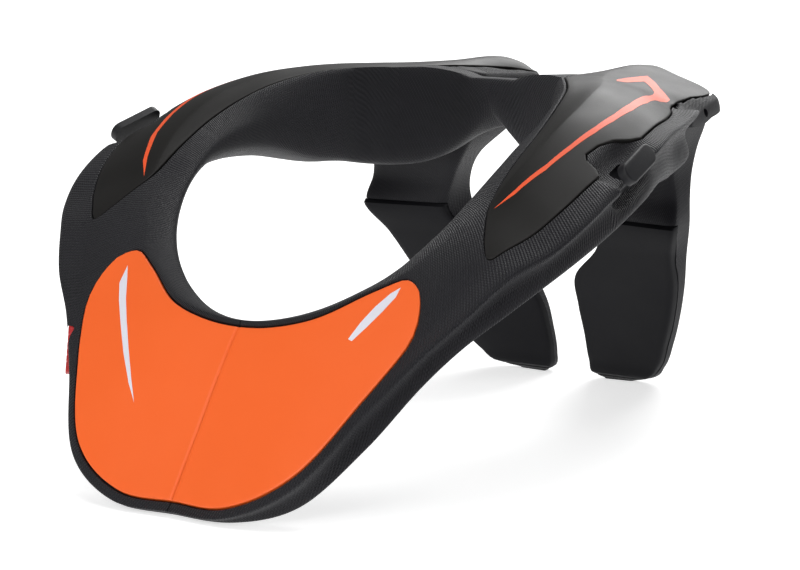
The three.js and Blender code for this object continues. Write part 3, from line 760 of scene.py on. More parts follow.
@dataclass(frozen=True)
class RibbedFinish(Finish):
    """A soft moulded surface with fine cells in rows, on lengths in the UV map, whose relief also darkens
    the colour in the valleys as painted shade.
    """

    grain_detail: float = 1.0
    patch_share: float = 0.45
    pitch: float = 0.92
    cell: float = 1.3
    lean: float = 0.3
    rib_share: float = 0.6
    rib_depth: float = 0.16
    rib_shine: float = 0.08
    grain_share: float = 0.2
    sheen: float = 0.04
    sheen_roughness: float = 0.5

    def paint(self, board: Board) -> None:
        """Fills the material's board.

        Args:
            board: The empty board.
        """
        lengths = board.add("ShaderNodeUVMap", {"uv_map": "UVMap"})
        along, across = (
            board.add("ShaderNodeSeparateXYZ", sockets={0: lengths}, output=axis) for axis in (0, 1)
        )
        turn = 2 * math.pi
        rib = ((along + across * self.lean) * (turn / self.pitch)).sine()
        cell = ((across - along * self.lean) * (turn / self.cell)).sine()
        # Relief of the cells: it drives the bump, and it also darkens the colour in the valleys as painted
        # shade.
        relief_and_valley_shade = rib * (cell * (1 - self.rib_share) + self.rib_share) * 0.5 + 0.5
        patches = board.noise(self.patch_scale, self.patch_detail)
        grain = board.noise(self.grain_scale, self.grain_detail)
        # Colour tone: painted shade in the rib valleys, mixed with random patches.
        tone = relief_and_valley_shade * (1 - self.patch_share) + patches * self.patch_share
        board.set(
            Base_Color=board.mix(tone, self.dark, self.light),
            Roughness=self.roughness + (patches - 0.5) * self.roughness_spread - relief_and_valley_shade * self.rib_shine,
            Normal=board.bump(relief_and_valley_shade + grain * self.grain_share, self.rib_depth),
            Sheen_Weight=self.sheen,
            Sheen_Roughness=self.sheen_roughness,
            Specular_IOR_Level=self.gloss,
        )


# The dark and light ends span the painted shade in the rib valleys as well as the random tone.
SKIN = RibbedFinish(
    name="ribbed_skin", light=(0.018, 0.0175, 0.0225), dark=(0.002, 0.002, 0.003),
    roughness=0.58, patch_scale=40.0, rib_depth=0.42, gloss=0.26,
)
LEG_SKIN = RibbedFinish(
    name="leg_skin", light=(0.01, 0.0095, 0.013), dark=(0.003, 0.003, 0.004),
    roughness=0.6, patch_scale=50.0, rib_depth=0.12, gloss=0.2,
)
DARK_PLATE = Finish(
    name="plate_satin", light=(0.0125, 0.0115, 0.0105), dark=(0.0085, 0.008, 0.0075),
    roughness=0.46, gloss=0.22,
)
ORANGE_PLATE = Finish(
    name="orange_satin", light=(1.0, 0.15, 0.02), dark=(0.97, 0.135, 0.016), grain_depth=0.015,
)
ORANGE_LINE = Finish(
    name="line_satin", light=(0.95, 0.11, 0.025), dark=(0.9, 0.095, 0.02), grain_depth=0.02,
)
WHITE_STRIPE = Finish(
    name="stripe_satin", light=(0.84, 0.84, 0.92), dark=(0.74, 0.74, 0.82), grain_depth=0.01,
)
COVER = Finish(
    name="cover_smooth", light=(0.007, 0.007, 0.009), dark=(0.004, 0.004, 0.005),
    roughness=0.62, grain_depth=0.05, gloss=0.14,
)
TAB = Finish(
    name="tab_satin", light=(0.012, 0.012, 0.015), dark=(0.007, 0.007, 0.008),
    roughness=0.5, grain_depth=0.04, gloss=0.3,
)
RED = Finish(
    name="button_red", light=(0.55, 0.02, 0.02), dark=(0.36, 0.012, 0.014), grain_depth=0.05, gloss=0.3,
)
CLASP = Finish(name="clasp_plain", light=(0.03, 0.03, 0.034), dark=(0.02, 0.02, 0.022))


@dataclass
class StrapTabs:
    """The two oblong lugs at the shoulders, each on a stem in a hollow."""

    angle: float = 93.6
    out: float = 7.8
    head: tuple[float, float, float] = (24.0, 8.0, 3.4)
    head_rounding: float = 3.6
    stem: tuple[float, float, float] = (9.0, 4.4, 9.4)
    along: tuple[float, float, float] = (0.0, 0.94, 0.34)
    facing: tuple[float, float, float] = (0.86, 0.0, 0.5)
    edge_bevel: float = 0.9
    underside_inset: float = 1.4
    underside_shares: tuple[float, float, float] = (0.42, 0.86, 1.0)
    clearance: float = 0.35
    space_over: tuple[float, float, float] = (1.4, 1.0, 1.0)
    space_rounding: float = 2.3
    crease: float = 30.0

    def seat(self, side: Side) -> tuple[Vector, Vector, Vector]:
        """The middle of the head's outer face, its length's direction and its facing.

        Args:
            side: Which tab.

        Returns:
            The point in millimetres and the two directions.
        """
        radius = DECK.radii(np.array([self.angle]))[0, 3]
        edge = DECK.place(self.angle, radius, DECK.rise(np.array([self.angle]), np.array([radius]))[0])
        point = Vector((side.value * (edge[0] + self.out), edge[1], edge[2]))
        facing = Vector(self.facing) * Vector((side.value, 1, 1))
        return point, Vector(self.along), facing.normalized()

    def build(self) -> None:
        """Makes both tabs."""
        for side in Side:
            name = f"strap_tab_{side.word}"
            lug = Bench.block(f"{name}_lug", self.head, self.head_rounding)
            top = -0.5 * self.head[2] * MM
            Bench.edit(lug)
            Bench.choose(lug, edges=lambda edge: all(v.co.z > top for v in edge.verts))
            bpy.ops.mesh.bevel(offset=self.edge_bevel * MM, segments=4, affect="EDGES")
            self.grow_stem(lug)
            bpy.ops.object.mode_set(mode="OBJECT")
            Bench.stand(lug, *self.seat(side))
            Bench.finish(lug, self.crease)
            Bench.dress(lug, TAB, "tab", "brace", name)

    def grow_stem(self, lug: bpy.types.Object) -> None:
        """Insets the underside to the stem's size and draws the stem out of it.

        Args:
            lug: The lug in edit mode, round the origin.
        """
        under = (0.5 - self.head[2]) * MM
        Bench.choose(lug, faces=lambda face: face.normal.z < -0.9 and face.calc_center_median().z < under)
        bpy.ops.mesh.inset(thickness=self.underside_inset * MM)
        middle = (0, 0, -self.head[2] * MM)
        bpy.ops.transform.resize(value=self.underside_shares, center_override=middle)
        down = (0, 0, -(self.stem[2] - self.head[2] / 2) * MM)
        bpy.ops.mesh.extrude_region_move(TRANSFORM_OT_translate={"value": down})

    def stem_cutter(self, side: Side) -> bpy.types.Object:
        """The space that one stem needs in the padding.

        Args:
            side: Which tab.

        Returns:
            A block to cut with.
        """
        grown = tuple(value + 2 * self.clearance + over for value, over in zip(self.stem, self.space_over))
        block = Bench.block("stem_space", grown, self.space_rounding)
        block.data.transform(Matrix.Translation((0, 0, (-self.head[2] / 2 + self.clearance) * MM)))
        Bench.stand(block, *self.seat(side))
        return block


@dataclass
class ReleaseButton:
    """The red ribbed button at the wearer's right edge of the chest part."""

    angle: float = 42.0
    size: tuple[float, float, float] = (18.0, 6.6, 9.0)
    rounding: float = 2.4
    rib_pitch: float = 2.6
    rib_width: float = 1.1
    rib_depth: float = 0.7
    groove_slope: float = 0.25
    edge_bevel: float = 0.25
    travel: float = 2.5
    clearance: float = 0.35
    space_rounding: float = 2.75
    crease: float = 30.0
    drop: float = 0.4
    out: float = 1.9
    facing: Vector = field(default_factory=lambda: Vector((-0.72, -0.6, 0.1)).normalized())
    along: Vector = field(default_factory=lambda: Vector((-0.36, 0.32, 0.88)))

    def seat(self) -> tuple[Vector, Vector, Vector]:
        """The middle of its outer face, its length's direction and its facing.

        Returns:
            The point in millimetres and the two directions.
        """
        angle = np.array([self.angle])
        pad = Padding().table.smooth(angle)
        radius = DECK.radii(angle)[:, 3]
        rise = DECK.rise(angle, radius)
        edge = DECK.place(angle, radius + pad["edge_out"], rise - pad["edge_down"])[0]
        lip = DECK.place(angle, pad["lip_r"], pad["lip_z"])[0]
        spot = edge + (lip - edge) * self.drop
        return Vector((-spot[0], spot[1], spot[2])) + self.facing * self.out, self.along, self.facing

    def build(self) -> None:
        """Makes the button with its ribs."""
        block = Bench.block("release_button_red", self.size, self.rounding)
        count = int(self.size[0] // self.rib_pitch) - 1
        middles = [(rib - (count - 1) / 2) * self.rib_pitch for rib in range(count)]
        floor = self.rib_width / 2 - self.groove_slope
        Bench.edit(block)
        for middle in middles:
            for offset in (-self.rib_width / 2, -floor, floor, self.rib_width / 2):
                bpy.ops.mesh.select_all(action="SELECT")
                bpy.ops.mesh.bisect(plane_co=((middle + offset) * MM, 0, 0), plane_no=(1, 0, 0))
        Bench.choose(block, faces=lambda face: self.in_groove(face, middles, floor))
        bpy.ops.transform.translate(value=(0, 0, -self.rib_depth * MM))
        bpy.ops.object.mode_set(mode="OBJECT")
        Bench.soften(block, self.edge_bevel)
        Bench.stand(block, *self.seat())
        Bench.finish(block, self.crease)
        Bench.dress(block, RED, "button", "button", "release_button")

    def in_groove(self, face: bmesh.types.BMFace, middles: list[float], floor: float) -> bool:
        """Tells whether a face is a groove's floor on the outer side.

        Args:
            face: A face of the button, round the origin.
            middles: The grooves' middles along it.
            floor: Half the width of a groove's floor.

        Returns:
            True for a floor.
        """
        spot = face.calc_center_median() / MM
        near = min(abs(spot.x - middle) for middle in middles)
        return face.normal.z > 0.9 and near < floor * 0.9

    def well_cutter(self) -> bpy.types.Object:
        """The space that the button needs in the padding, with its travel.

        Returns:
            A block to cut with.
        """
        length, height, thickness = (value + 2 * self.clearance for value in self.size)
        size = (length, height, thickness + self.travel)
        block = Bench.block("button_space", size, self.space_rounding)
        block.data.transform(Matrix.Translation((0, 0, self.clearance * MM)))
        Bench.stand(block, *self.seat())
        return block


@dataclass
class Clasp:
    """The hidden clasp under the chest plates."""

    size: tuple[float, float, float] = (44.0, 16.0, 3.0)
    rounding: float = 3.0
    radius: float = 81.0
    depth: float = 3.0
    seat_reach: float = 6.0
    edge_bevel: float = 0.5
    clearance: float = 0.35
    space_over: float = 1.0
    space_rounding: float = 3.3
    crease: float = 30.0

    def seat(self) -> tuple[Vector, Vector, Vector]:
        """The middle of its outer face, its length's direction and its facing.

        Returns:
            The point in millimetres and the two directions.
        """
        angle = np.zeros(2)
        radius = np.array([self.radius + self.seat_reach, self.radius - self.seat_reach])
        low, high = (Vector(point) for point in DECK.place(angle, radius, DECK.rise(angle, radius)))
        facing = Vector((0, high.z - low.z, low.y - high.y))
        facing = (facing if facing.z > 0 else -facing).normalized()
        return (low + high) / 2 - facing * self.depth, Vector((1, 0, 0)), facing

    def build(self) -> None:
        """Makes the clasp with soft edges."""
        block = Bench.block("clasp_bar", self.size, self.rounding)
        Bench.soften(block, self.edge_bevel)
        Bench.stand(block, *self.seat())
        Bench.finish(block, self.crease)
        Bench.dress(block, CLASP, "clasp", "brace", "front_clasp")

    def cutter(self) -> bpy.types.Object:
        """The space that the clasp needs in the padding.

        Returns:
            A block to cut with.
        """
        length, height, thickness = (value + 2 * self.clearance for value in self.size)
        size = (length, height, thickness + self.space_over)
        block = Bench.block("clasp_space", size, self.space_rounding)
        block.data.transform(Matrix.Translation((0, 0, (self.clearance + self.space_over) * MM)))
        Bench.stand(block, *self.seat())
        return block


@dataclass
class Padding:
    """The one-piece ring of padding, with pockets for the plates and hollows for the tabs."""

    step: float = 0.4
    least_step: float = 0.03
    close_spans: tuple[tuple[float, float, float], ...] = (
        (46, 48.6, 0.05),
        (61, 62.4, 0.05),
        (86.4, 89, 0.15),
    )
    spans: tuple[int, ...] = (6, 6, 12, 12, 9, 8)
    bed: float = 3.1
    seam_gap: float = 0.6
    floor_rounding: float = 0.8
    groove_depth: float = 3.5
    groove_place: float = 0.42
    groove_reach: tuple[float, float] = (4.0, 16.0)
    under_inset: float = 2.0
    back_face: float = 98.5
    back_from: float = 130.0
    open_from: tuple[float, float] = (140.0, 141.6)
    crown_radius: float = 88.0
    rim_bevel: float = 0.45
    rim_spread: float = 1.6
    guide_shares: tuple[float, float] = (0.3, 0.76)
    guide_fade: tuple[float, float] = (1.4, 0.6)
    hollow_depth: float = 5.0
    hollow_half: tuple[float, float] = (14.5, 8.5)
    hollow_powers: tuple[float, float, float] = (8.0, 3.0, 4.0)
    hollow_fade: tuple[float, float] = (-16.0, -11.0)
    grain_radius: float = 0.8
    crease: float = 50.0
    table: Rows = Rows(
        ("angle", "edge_out", "edge_down", "rim_r", "rim_z", "lip_r", "lip_z", "under_z"),
        (
            (0, 1, 1, 60.2, 44.8, 98.5, 0, 35),
            (12, 0.8, 1.2, 59.6, 46, 99.6, 0, 36),
            (24, 0.9, 2, 59, 49, 95.8, 4.4, 39),
            (36, 2, 3, 59.4, 54, 94.4, 19.4, 44),
            (46, 5.4, 3.7, 60, 59.8, 92, 33.8, 50.4),
            (54, 8.6, 3.7, 60, 65.4, 93.4, 43.8, 57.6),
            (62, 9.8, 3.6, 59.2, 70.8, 95.6, 51.6, 65.2),
            (70, 9.2, 3.4, 57.8, 76, 97, 58.4, 72),
            (84, 7.4, 3, 55.8, 82.8, 97, 67.4, 78.8),
            (98, 6, 2.2, 54, 86.4, 96.4, 74, 80.8),
            (113, 5, 1.2, 54.8, 87, 95, 76.4, 79.6),
            (128, 5.6, 1, 57, 85.4, 98, 74.6, 75.6),
            (138, 8.4, 0.8, 61, 83, 107.6, 77.4, 74),
            (142, 7, 1.2, 63, 82.2, 106, 77, 73),
            (146, 3, 3.7, 64.4, 81.6, 99, 75, 72.4),
            (153, 2, 3.7, 67.8, 81.4, 90.6, 73.4, 71.6),
            (160, 2, 3.7, 70.4, 83, 86.4, 74, 72),
            (167, 2, 3.7, 71.6, 86, 84, 76, 75),
            (174, 2, 3.7, 72, 90, 82.4, 80, 81),
            (180, 2, 3.7, 72, 92.4, 82, 82, 87),
        ),
    )

    def angles(self) -> Grid:
        """Angles of the sections, closer together at the plates' points.

        Returns:
            Angles in degrees, from the seam on.
        """
        even = np.arange(0, 180 + self.step / 2, self.step)
        close = np.concatenate([np.arange(*span) for span in self.close_spans])
        every = np.unique(np.round(np.concatenate([even, close]), 3))
        return every[np.concatenate([[True], np.diff(every) > self.least_step])]

    def borders(self, angle: Grid) -> tuple[Grid, Grid]:
        """Where the pocket's borders lie, closed to one line between the plates.

        Args:
            angle: Angles round the neck.

        Returns:
            The inner and the outer border, between the deck's edges and folds.
        """
        chest = CHEST_BORDERS.straight(angle)
        shoulder = SHOULDER_BORDERS.straight(angle)
        chest_end, shoulder_start = CHEST_BORDERS.rows[-1], SHOULDER_BORDERS.rows[0]
        share = np.clip((angle - chest_end[0]) / (shoulder_start[0] - chest_end[0]), 0, 1)
        middle = sum(chest_end[1:]) / 2 * (1 - share) + sum(shoulder_start[1:]) / 2 * share
        on_chest, on_shoulder = angle <= chest_end[0], angle >= shoulder_start[0]
        inner = np.where(on_chest, chest["inner"], np.where(on_shoulder, shoulder["inner"], middle))
        outer = np.where(on_chest, chest["outer"], np.where(on_shoulder, shoulder["outer"], middle))
        return inner, outer

    def half(self) -> tuple[Grid, Grid]:
        """Sections of the wearer's left half, from the seam to the back.

        Returns:
            The points, and each section's angle.
        """
        angle = self.angles()
        pad = self.table.smooth(angle)
        radii = DECK.radii(angle)
        is_open = smoothstep(*self.open_from, angle)
        back = self.back_face * 100 / DECK.half_depth / np.maximum(0.01, -np.cos(np.radians(angle)))
        inner = np.minimum(radii[:, 0], self.crown_radius * 100 / DECK.half_depth)
        outer = np.where(angle > self.back_from, np.minimum(radii[:, 3], back), radii[:, 3])
        border_in, border_out = self.borders(angle)
        start = np.clip(DECK.radius_at(angle, border_in), inner, outer)
        end = np.clip(DECK.radius_at(angle, border_out), inner, outer)
        end = end + (outer - end) * is_open
        top, depth = self.top_columns(inner, start, end, outer, is_open)
        spread = np.repeat(angle[:, None], top.shape[1], axis=1)
        deck = DECK.sunk(spread, top, depth)
        guides = self.guides(angle, radii, start, end, border_in, is_open)
        side = self.side_columns(angle, pad, deck[:, -1], deck[:, 0], outer, guides)
        loops = np.concatenate([deck, side], axis=1)
        loops[0, :, 0] = self.seam_gap / 2
        loops[..., 2] = (loops[..., 2] + np.hypot(loops[..., 2], self.floor_rounding)) / 2
        return self.hollowed(loops), angle

    def top_columns(
        self, inner: Grid, start: Grid, end: Grid, outer: Grid, is_open: Grid
    ) -> tuple[Grid, Grid]:
        """Radii and depths of the columns over the top, with the pocket's walls.

        Args:
            inner: Inner edge of the top.
            start: The pocket's inner border.
            end: The pocket's outer border.
            outer: Outer edge of the top.
            is_open: How far the pocket's outer wall is left out.

        Returns:
            Radii and depths, sections by columns.
        """
        pocket = smoothstep(0.0, 0.5, end - start)
        roll = self.rim_bevel * self.rim_spread / (DECK.half_width / 100)
        roll_in = np.minimum(roll, 0.4 * (start - inner))
        roll_out = np.minimum(roll, 0.4 * (outer - end))
        rolls = ((1.0, 0.0), (0.62, 0.06), (0.3, 0.24), (0.1, 0.55), (0.0, 1.0))
        radii: list[Grid] = []
        depths: list[Grid] = []
        for share in (0.0, 0.35, 0.7):
            radii.append(inner + (start - roll_in - inner) * share)
            depths.append(np.zeros_like(inner))
        for share, drop in rolls:
            radii.append(start - roll_in * share)
            depths.append(pocket * self.rim_bevel * drop)
        for share in (0.002, 0.2, 0.4, 0.6, 0.8, 0.998):
            radii.append(start + (end - start) * share)
            depths.append(pocket * self.bed)
        floor = pocket * self.bed
        for share, drop in reversed(rolls):
            rim = pocket * self.rim_bevel * drop
            radii.append(end + roll_out * share)
            depths.append(rim + (floor - rim) * is_open)
        for share in (0.3, 0.65, 1.0):
            radii.append(end + roll_out + (outer - end - roll_out) * share)
            depths.append(floor * is_open)
        return np.stack(radii, axis=1), np.stack(depths, axis=1)

    def guides(
        self, angle: Grid, radii: Grid, start: Grid, end: Grid, border_in: Grid, is_open: Grid
    ) -> tuple[Grid, Grid]:
        """Points inside the top that lead the side's curve in and out.

        Args:
            angle: The sections' angles.
            radii: The deck's four radii.
            start: The pocket's inner border.
            end: The pocket's outer border.
            border_in: Where the inner border lies between the deck's places.
            is_open: How far the pocket is open outwards.

        Returns:
            The inner and the outer guide of each section.
        """
        plate = smoothstep(*self.guide_fade, border_in) * (1 - is_open)
        near, far = (start + (end - start) * share for share in self.guide_shares)
        near = near + (radii[:, 1] - near) * plate
        far = far + (radii[:, 2] - far) * plate
        inner, outer = (DECK.place(angle, radius, DECK.rise(angle, radius)) for radius in (near, far))
        return inner, outer

    def side_columns(
        self,
        angle: Grid,
        pad: dict[str, Grid],
        first: Grid,
        last: Grid,
        outer: Grid,
        guides: tuple[Grid, Grid],
    ) -> Grid:
        """The outer wall, underside and inner wall through their named corners.

        Args:
            angle: The sections' angles.
            pad: The padding table's values there.
            first: The top's outer points.
            last: The top's inner points.
            outer: Radii of the outer points.
            guides: The inner and outer guide points.

        Returns:
            Points as sections by columns by three, without the top's own.
        """
        edge = DECK.place(angle, outer + pad["edge_out"], first[:, 2] * 100 / DECK.crest - pad["edge_down"])
        lip = DECK.place(angle, pad["lip_r"], pad["lip_z"])
        for corner in (edge, lip):
            corner[:, 1] = np.minimum(corner[:, 1], self.back_face)
        turn = np.radians(angle)
        inwards = np.stack([-np.sin(turn), np.cos(turn), np.zeros_like(turn)], axis=-1)
        reach = np.linalg.norm(edge - lip, axis=-1)
        hollow = self.groove_depth * smoothstep(*self.groove_reach, reach)
        groove = edge + (lip - edge) * self.groove_place + inwards * hollow[:, None]
        under = DECK.place(angle, pad["rim_r"] + self.under_inset * 100 / DECK.half_width, pad["under_z"])
        rim = DECK.place(angle, pad["rim_r"], pad["rim_z"])
        corners = np.stack([guides[1], first, edge, groove, lip, under, rim, last, guides[0]], axis=0)
        columns = []
        for span, count in enumerate(self.spans):
            shares = [(step + 1) / count for step in range(count)]
            columns.extend(self.bend(corners[span : span + 4], share) for share in shares)
        return np.stack(columns[:-1], axis=1)

    @staticmethod
    def bend(corners: Grid, share: float) -> Grid:
        """A point between the middle two of four corners, on a centripetal curve.

        Args:
            corners: Four rows of points.
            share: Where between the middle two.

        Returns:
            One point for each section.
        """
        gaps = np.sqrt(np.linalg.norm(np.diff(corners, axis=0), axis=-1))[..., None]
        gaps[1] = np.where(gaps[1] < 1e-4, 1.0, gaps[1])
        gaps[0] = np.where(gaps[0] < 1e-4, gaps[1], gaps[0])
        gaps[2] = np.where(gaps[2] < 1e-4, gaps[1], gaps[2])
        first, second, third, fourth = corners
        around, beyond = gaps[0] + gaps[1], gaps[1] + gaps[2]
        lead = (second - first) / gaps[0] - (third - first) / around + (third - second) / gaps[1]
        leave = (third - second) / gaps[1] - (fourth - second) / beyond + (fourth - third) / gaps[2]
        return hermite(np.float64(share), gaps[1], second, third, lead, leave)

    def hollowed(self, loops: Grid) -> Grid:
        """Presses the hollow for the strap tab into the outer edge.

        Args:
            loops: Sections of the left half.

        Returns:
            The sections with the hollow.
        """
        point, along, facing = (np.array(value) for value in StrapTabs().seat(Side.LEFT))
        along = along / np.linalg.norm(along)
        across = np.cross(facing, along)
        offset = loops - point
        run, width, out = offset @ along, offset @ across, offset @ facing
        before, after, over = self.hollow_powers
        half_run, half_width = self.hollow_half
        steep = np.where(run < 0, before, after)
        shape = np.exp(-np.abs(run / half_run) ** steep - np.abs(width / half_width) ** over)
        shape = shape * smoothstep(*self.hollow_fade, out)
        return loops - facing * (shape * self.hollow_depth)[..., None]

    def build(self) -> None:
        """Makes the ring, cuts what is let into it and dresses it."""
        left, angle = self.half()
        right = left[:-1][::-1] * Side.RIGHT.flip
        rows = np.concatenate([left, right], axis=0)
        turned = np.concatenate([angle, 360 - angle[:-1][::-1]])
        along = turned * math.radians(1) * self.grain_radius * DECK.half_width
        across = lengths_round(rows)
        grain = np.stack([np.repeat(along[:, None], across.shape[1], axis=1), across], axis=-1)
        ring = Bench.loft("padded_ring", rows, grain, angle=self.crease)
        self.cut(ring)
        Bench.dress(ring, SKIN, "padding", "brace", "collar_foam")

    def cut(self, ring: bpy.types.Object) -> None:
        """Cuts the spaces for the tabs' stems, the button and the clasp.

        Args:
            ring: The whole ring.
        """
        cutters = [StrapTabs().stem_cutter(side) for side in Side]
        cutters += [ReleaseButton().well_cutter(), Clasp().cutter()]
        for cutter in cutters:
            Bench.cut(ring, cutter)
        Bench.finish(ring, self.crease)


@dataclass
class Plate:
    """A hard plate let into the padding's top."""

    name: str
    borders: Rows
    finish: Finish
    slot: str
    last_angle: float
    proud: float
    thickness: float = 2.2
    edge_gap: float = 0.5
    edge_roll: float = 0.7
    roll_depth: float = 0.55
    least_width: float = 0.02
    ridge_half: float = 0.35
    ridge_margin: float = 1.2
    seam_half: float = 0.42
    seam_roll: float = 0.35
    step: float = 0.5
    crease: float = 32.0

    def angles(self) -> Grid:
        """Angles of the sections, closer together where the border turns.

        Returns:
            Angles in degrees.
        """
        first = self.borders.rows[0][0]
        even = np.arange(first, self.last_angle, self.step)
        rows = np.array([row[0] for row in self.borders.rows if row[0] < self.last_angle])
        tips = first + np.array([0.0, 0.02, 0.05, 0.1, 0.15, 0.2, 0.3, 0.4])
        return np.unique(np.round(np.concatenate([even, rows, tips, [self.last_angle]]), 3))

    def sections(self) -> Grid:
        """Closed sections of the left plate: the top outwards, and the underside back.

        Returns:
            Points as sections by columns by three.
        """
        angle = self.angles()
        border = self.borders.straight(angle)
        unit = DECK.half_width / 100
        start = DECK.radius_at(angle, border["inner"]) + self.edge_gap / unit
        end = DECK.radius_at(angle, border["outer"]) - self.edge_gap / unit
        end = np.maximum(end, start + self.least_width)
        width = end - start
        roll = np.minimum(self.edge_roll / unit, 0.3 * width)
        margin = roll * self.ridge_margin
        radii = DECK.radii(angle)
        ridge, line = (np.clip(radii[:, place], start + margin, end - margin) for place in (1, 2))
        rolls = ((0.0, 1.0), (0.08, 0.6), (0.25, 0.28), (0.5, 0.08), (1.0, 0.0))
        columns = [(start + roll * share, drop) for share, drop in rolls]
        first, last = start + roll, end - roll
        fold = np.minimum(self.ridge_half / unit, 0.3 * (ridge - first))
        columns += [(first + (ridge - fold - first) * share, 0.0) for share in (0.2, 0.4, 0.6, 0.8, 1.0)]
        columns += [(ridge, 0.0), (ridge + fold, 0.0)]
        reach = line - ridge - fold
        columns += [(ridge + fold + reach * share, 0.0) for share in np.linspace(0.12, 1.0, 8)]
        columns += [(line + (last - line) * share, 0.0) for share in np.linspace(0.1, 0.9, 9)]
        columns += [(end - roll * share, drop) for share, drop in reversed(rolls)]
        under = [(start + width * share, None) for share in (1.0, 0.8, 0.6, 0.4, 0.2, 0.0)]
        at_seam = angle[0] == 0
        points = []
        for radius, drop in columns + under:
            base = DECK.place(angle, radius, DECK.rise(angle, radius))
            sink = np.full_like(angle, self.thickness)
            if drop is not None:
                seam = self.seam_drop(np.abs(base[:, 0])) if at_seam else np.zeros_like(angle)
                sink = seam + drop * self.roll_depth - self.proud
            spots = base - DECK.normal(base) * sink[:, None]
            if at_seam:
                spots[0, 0] = self.seam_half
            points.append(spots)
        return np.stack(points, axis=1)

    def seam_drop(self, x: Grid) -> Grid:
        """How far the top falls towards the front seam, for a soft edge."""
        return self.seam_roll * np.clip(1 - (x - self.seam_half) / self.edge_roll, 0, 1) ** 2

    def build(self) -> None:
        """Makes both plates."""
        left = self.sections()
        for side in Side:
            plate = Bench.loft(f"{self.name}_{side.word}_shell", left * side.flip, angle=self.crease)
            Bench.dress(plate, self.finish, self.slot, "brace", f"{self.name}_{side.word}")


@dataclass
class Inlay:
    """A thin painted stripe on a plate, between two edges given in plan."""

    name: str
    edges: tuple[tuple[PlanPoint, PlanPoint], ...]
    finish: Finish
    slot: str
    on_plate: float
    sides: tuple[Side, ...] = (Side.LEFT, Side.RIGHT)
    stand_out: float = 0.07
    thickness: float = 0.16
    columns: int = 7
    spacing: float = 1.2
    merge: float = 0.01
    crease: float = 40.0

    def outline(self) -> Grid:
        """Points of the stripe's top, rows along it and columns across.

        Returns:
            Points as rows by columns by three, on the wearer's left.
        """
        pairs = np.array(self.edges, float)
        rows = []
        for index in range(len(pairs) - 1):
            reach = np.linalg.norm(pairs[index + 1] - pairs[index], axis=-1).max()
            count = max(1, int(reach / self.spacing))
            shares = np.arange(count) / count
            rows.append(pairs[index] + (pairs[index + 1] - pairs[index]) * shares[:, None, None])
        rows.append(pairs[-1:])
        edges = np.concatenate(rows)
        share = np.linspace(0, 1, self.columns)[None, :, None]
        plan = edges[:, :1] + (edges[:, 1:] - edges[:, :1]) * share
        points = raised(plan, DECK.height(plan[..., 0], plan[..., 1]))
        return points + DECK.normal(points) * (self.on_plate + self.stand_out)

    def build(self) -> None:
        """Makes the stripe on each of its sides."""
        points = self.outline()
        for side in self.sides:
            stripe = Bench.sheet(f"{self.name}_{side.word}", points * side.flip)
            Bench.edit(stripe)
            bpy.ops.mesh.select_all(action="SELECT")
            bpy.ops.mesh.remove_doubles(threshold=self.merge * MM)
            Bench.face_outwards()
            up = sum(face.normal.z * face.area for face in stripe.data.polygons)
            Bench.apply(stripe, "SOLIDIFY", thickness=self.thickness * MM, offset=-1.0 if up > 0 else 1.0)
            Bench.edit(stripe)
            Bench.face_outwards()
            Bench.finish(stripe, self.crease)
            Bench.dress(stripe, self.finish, self.slot, "brace")


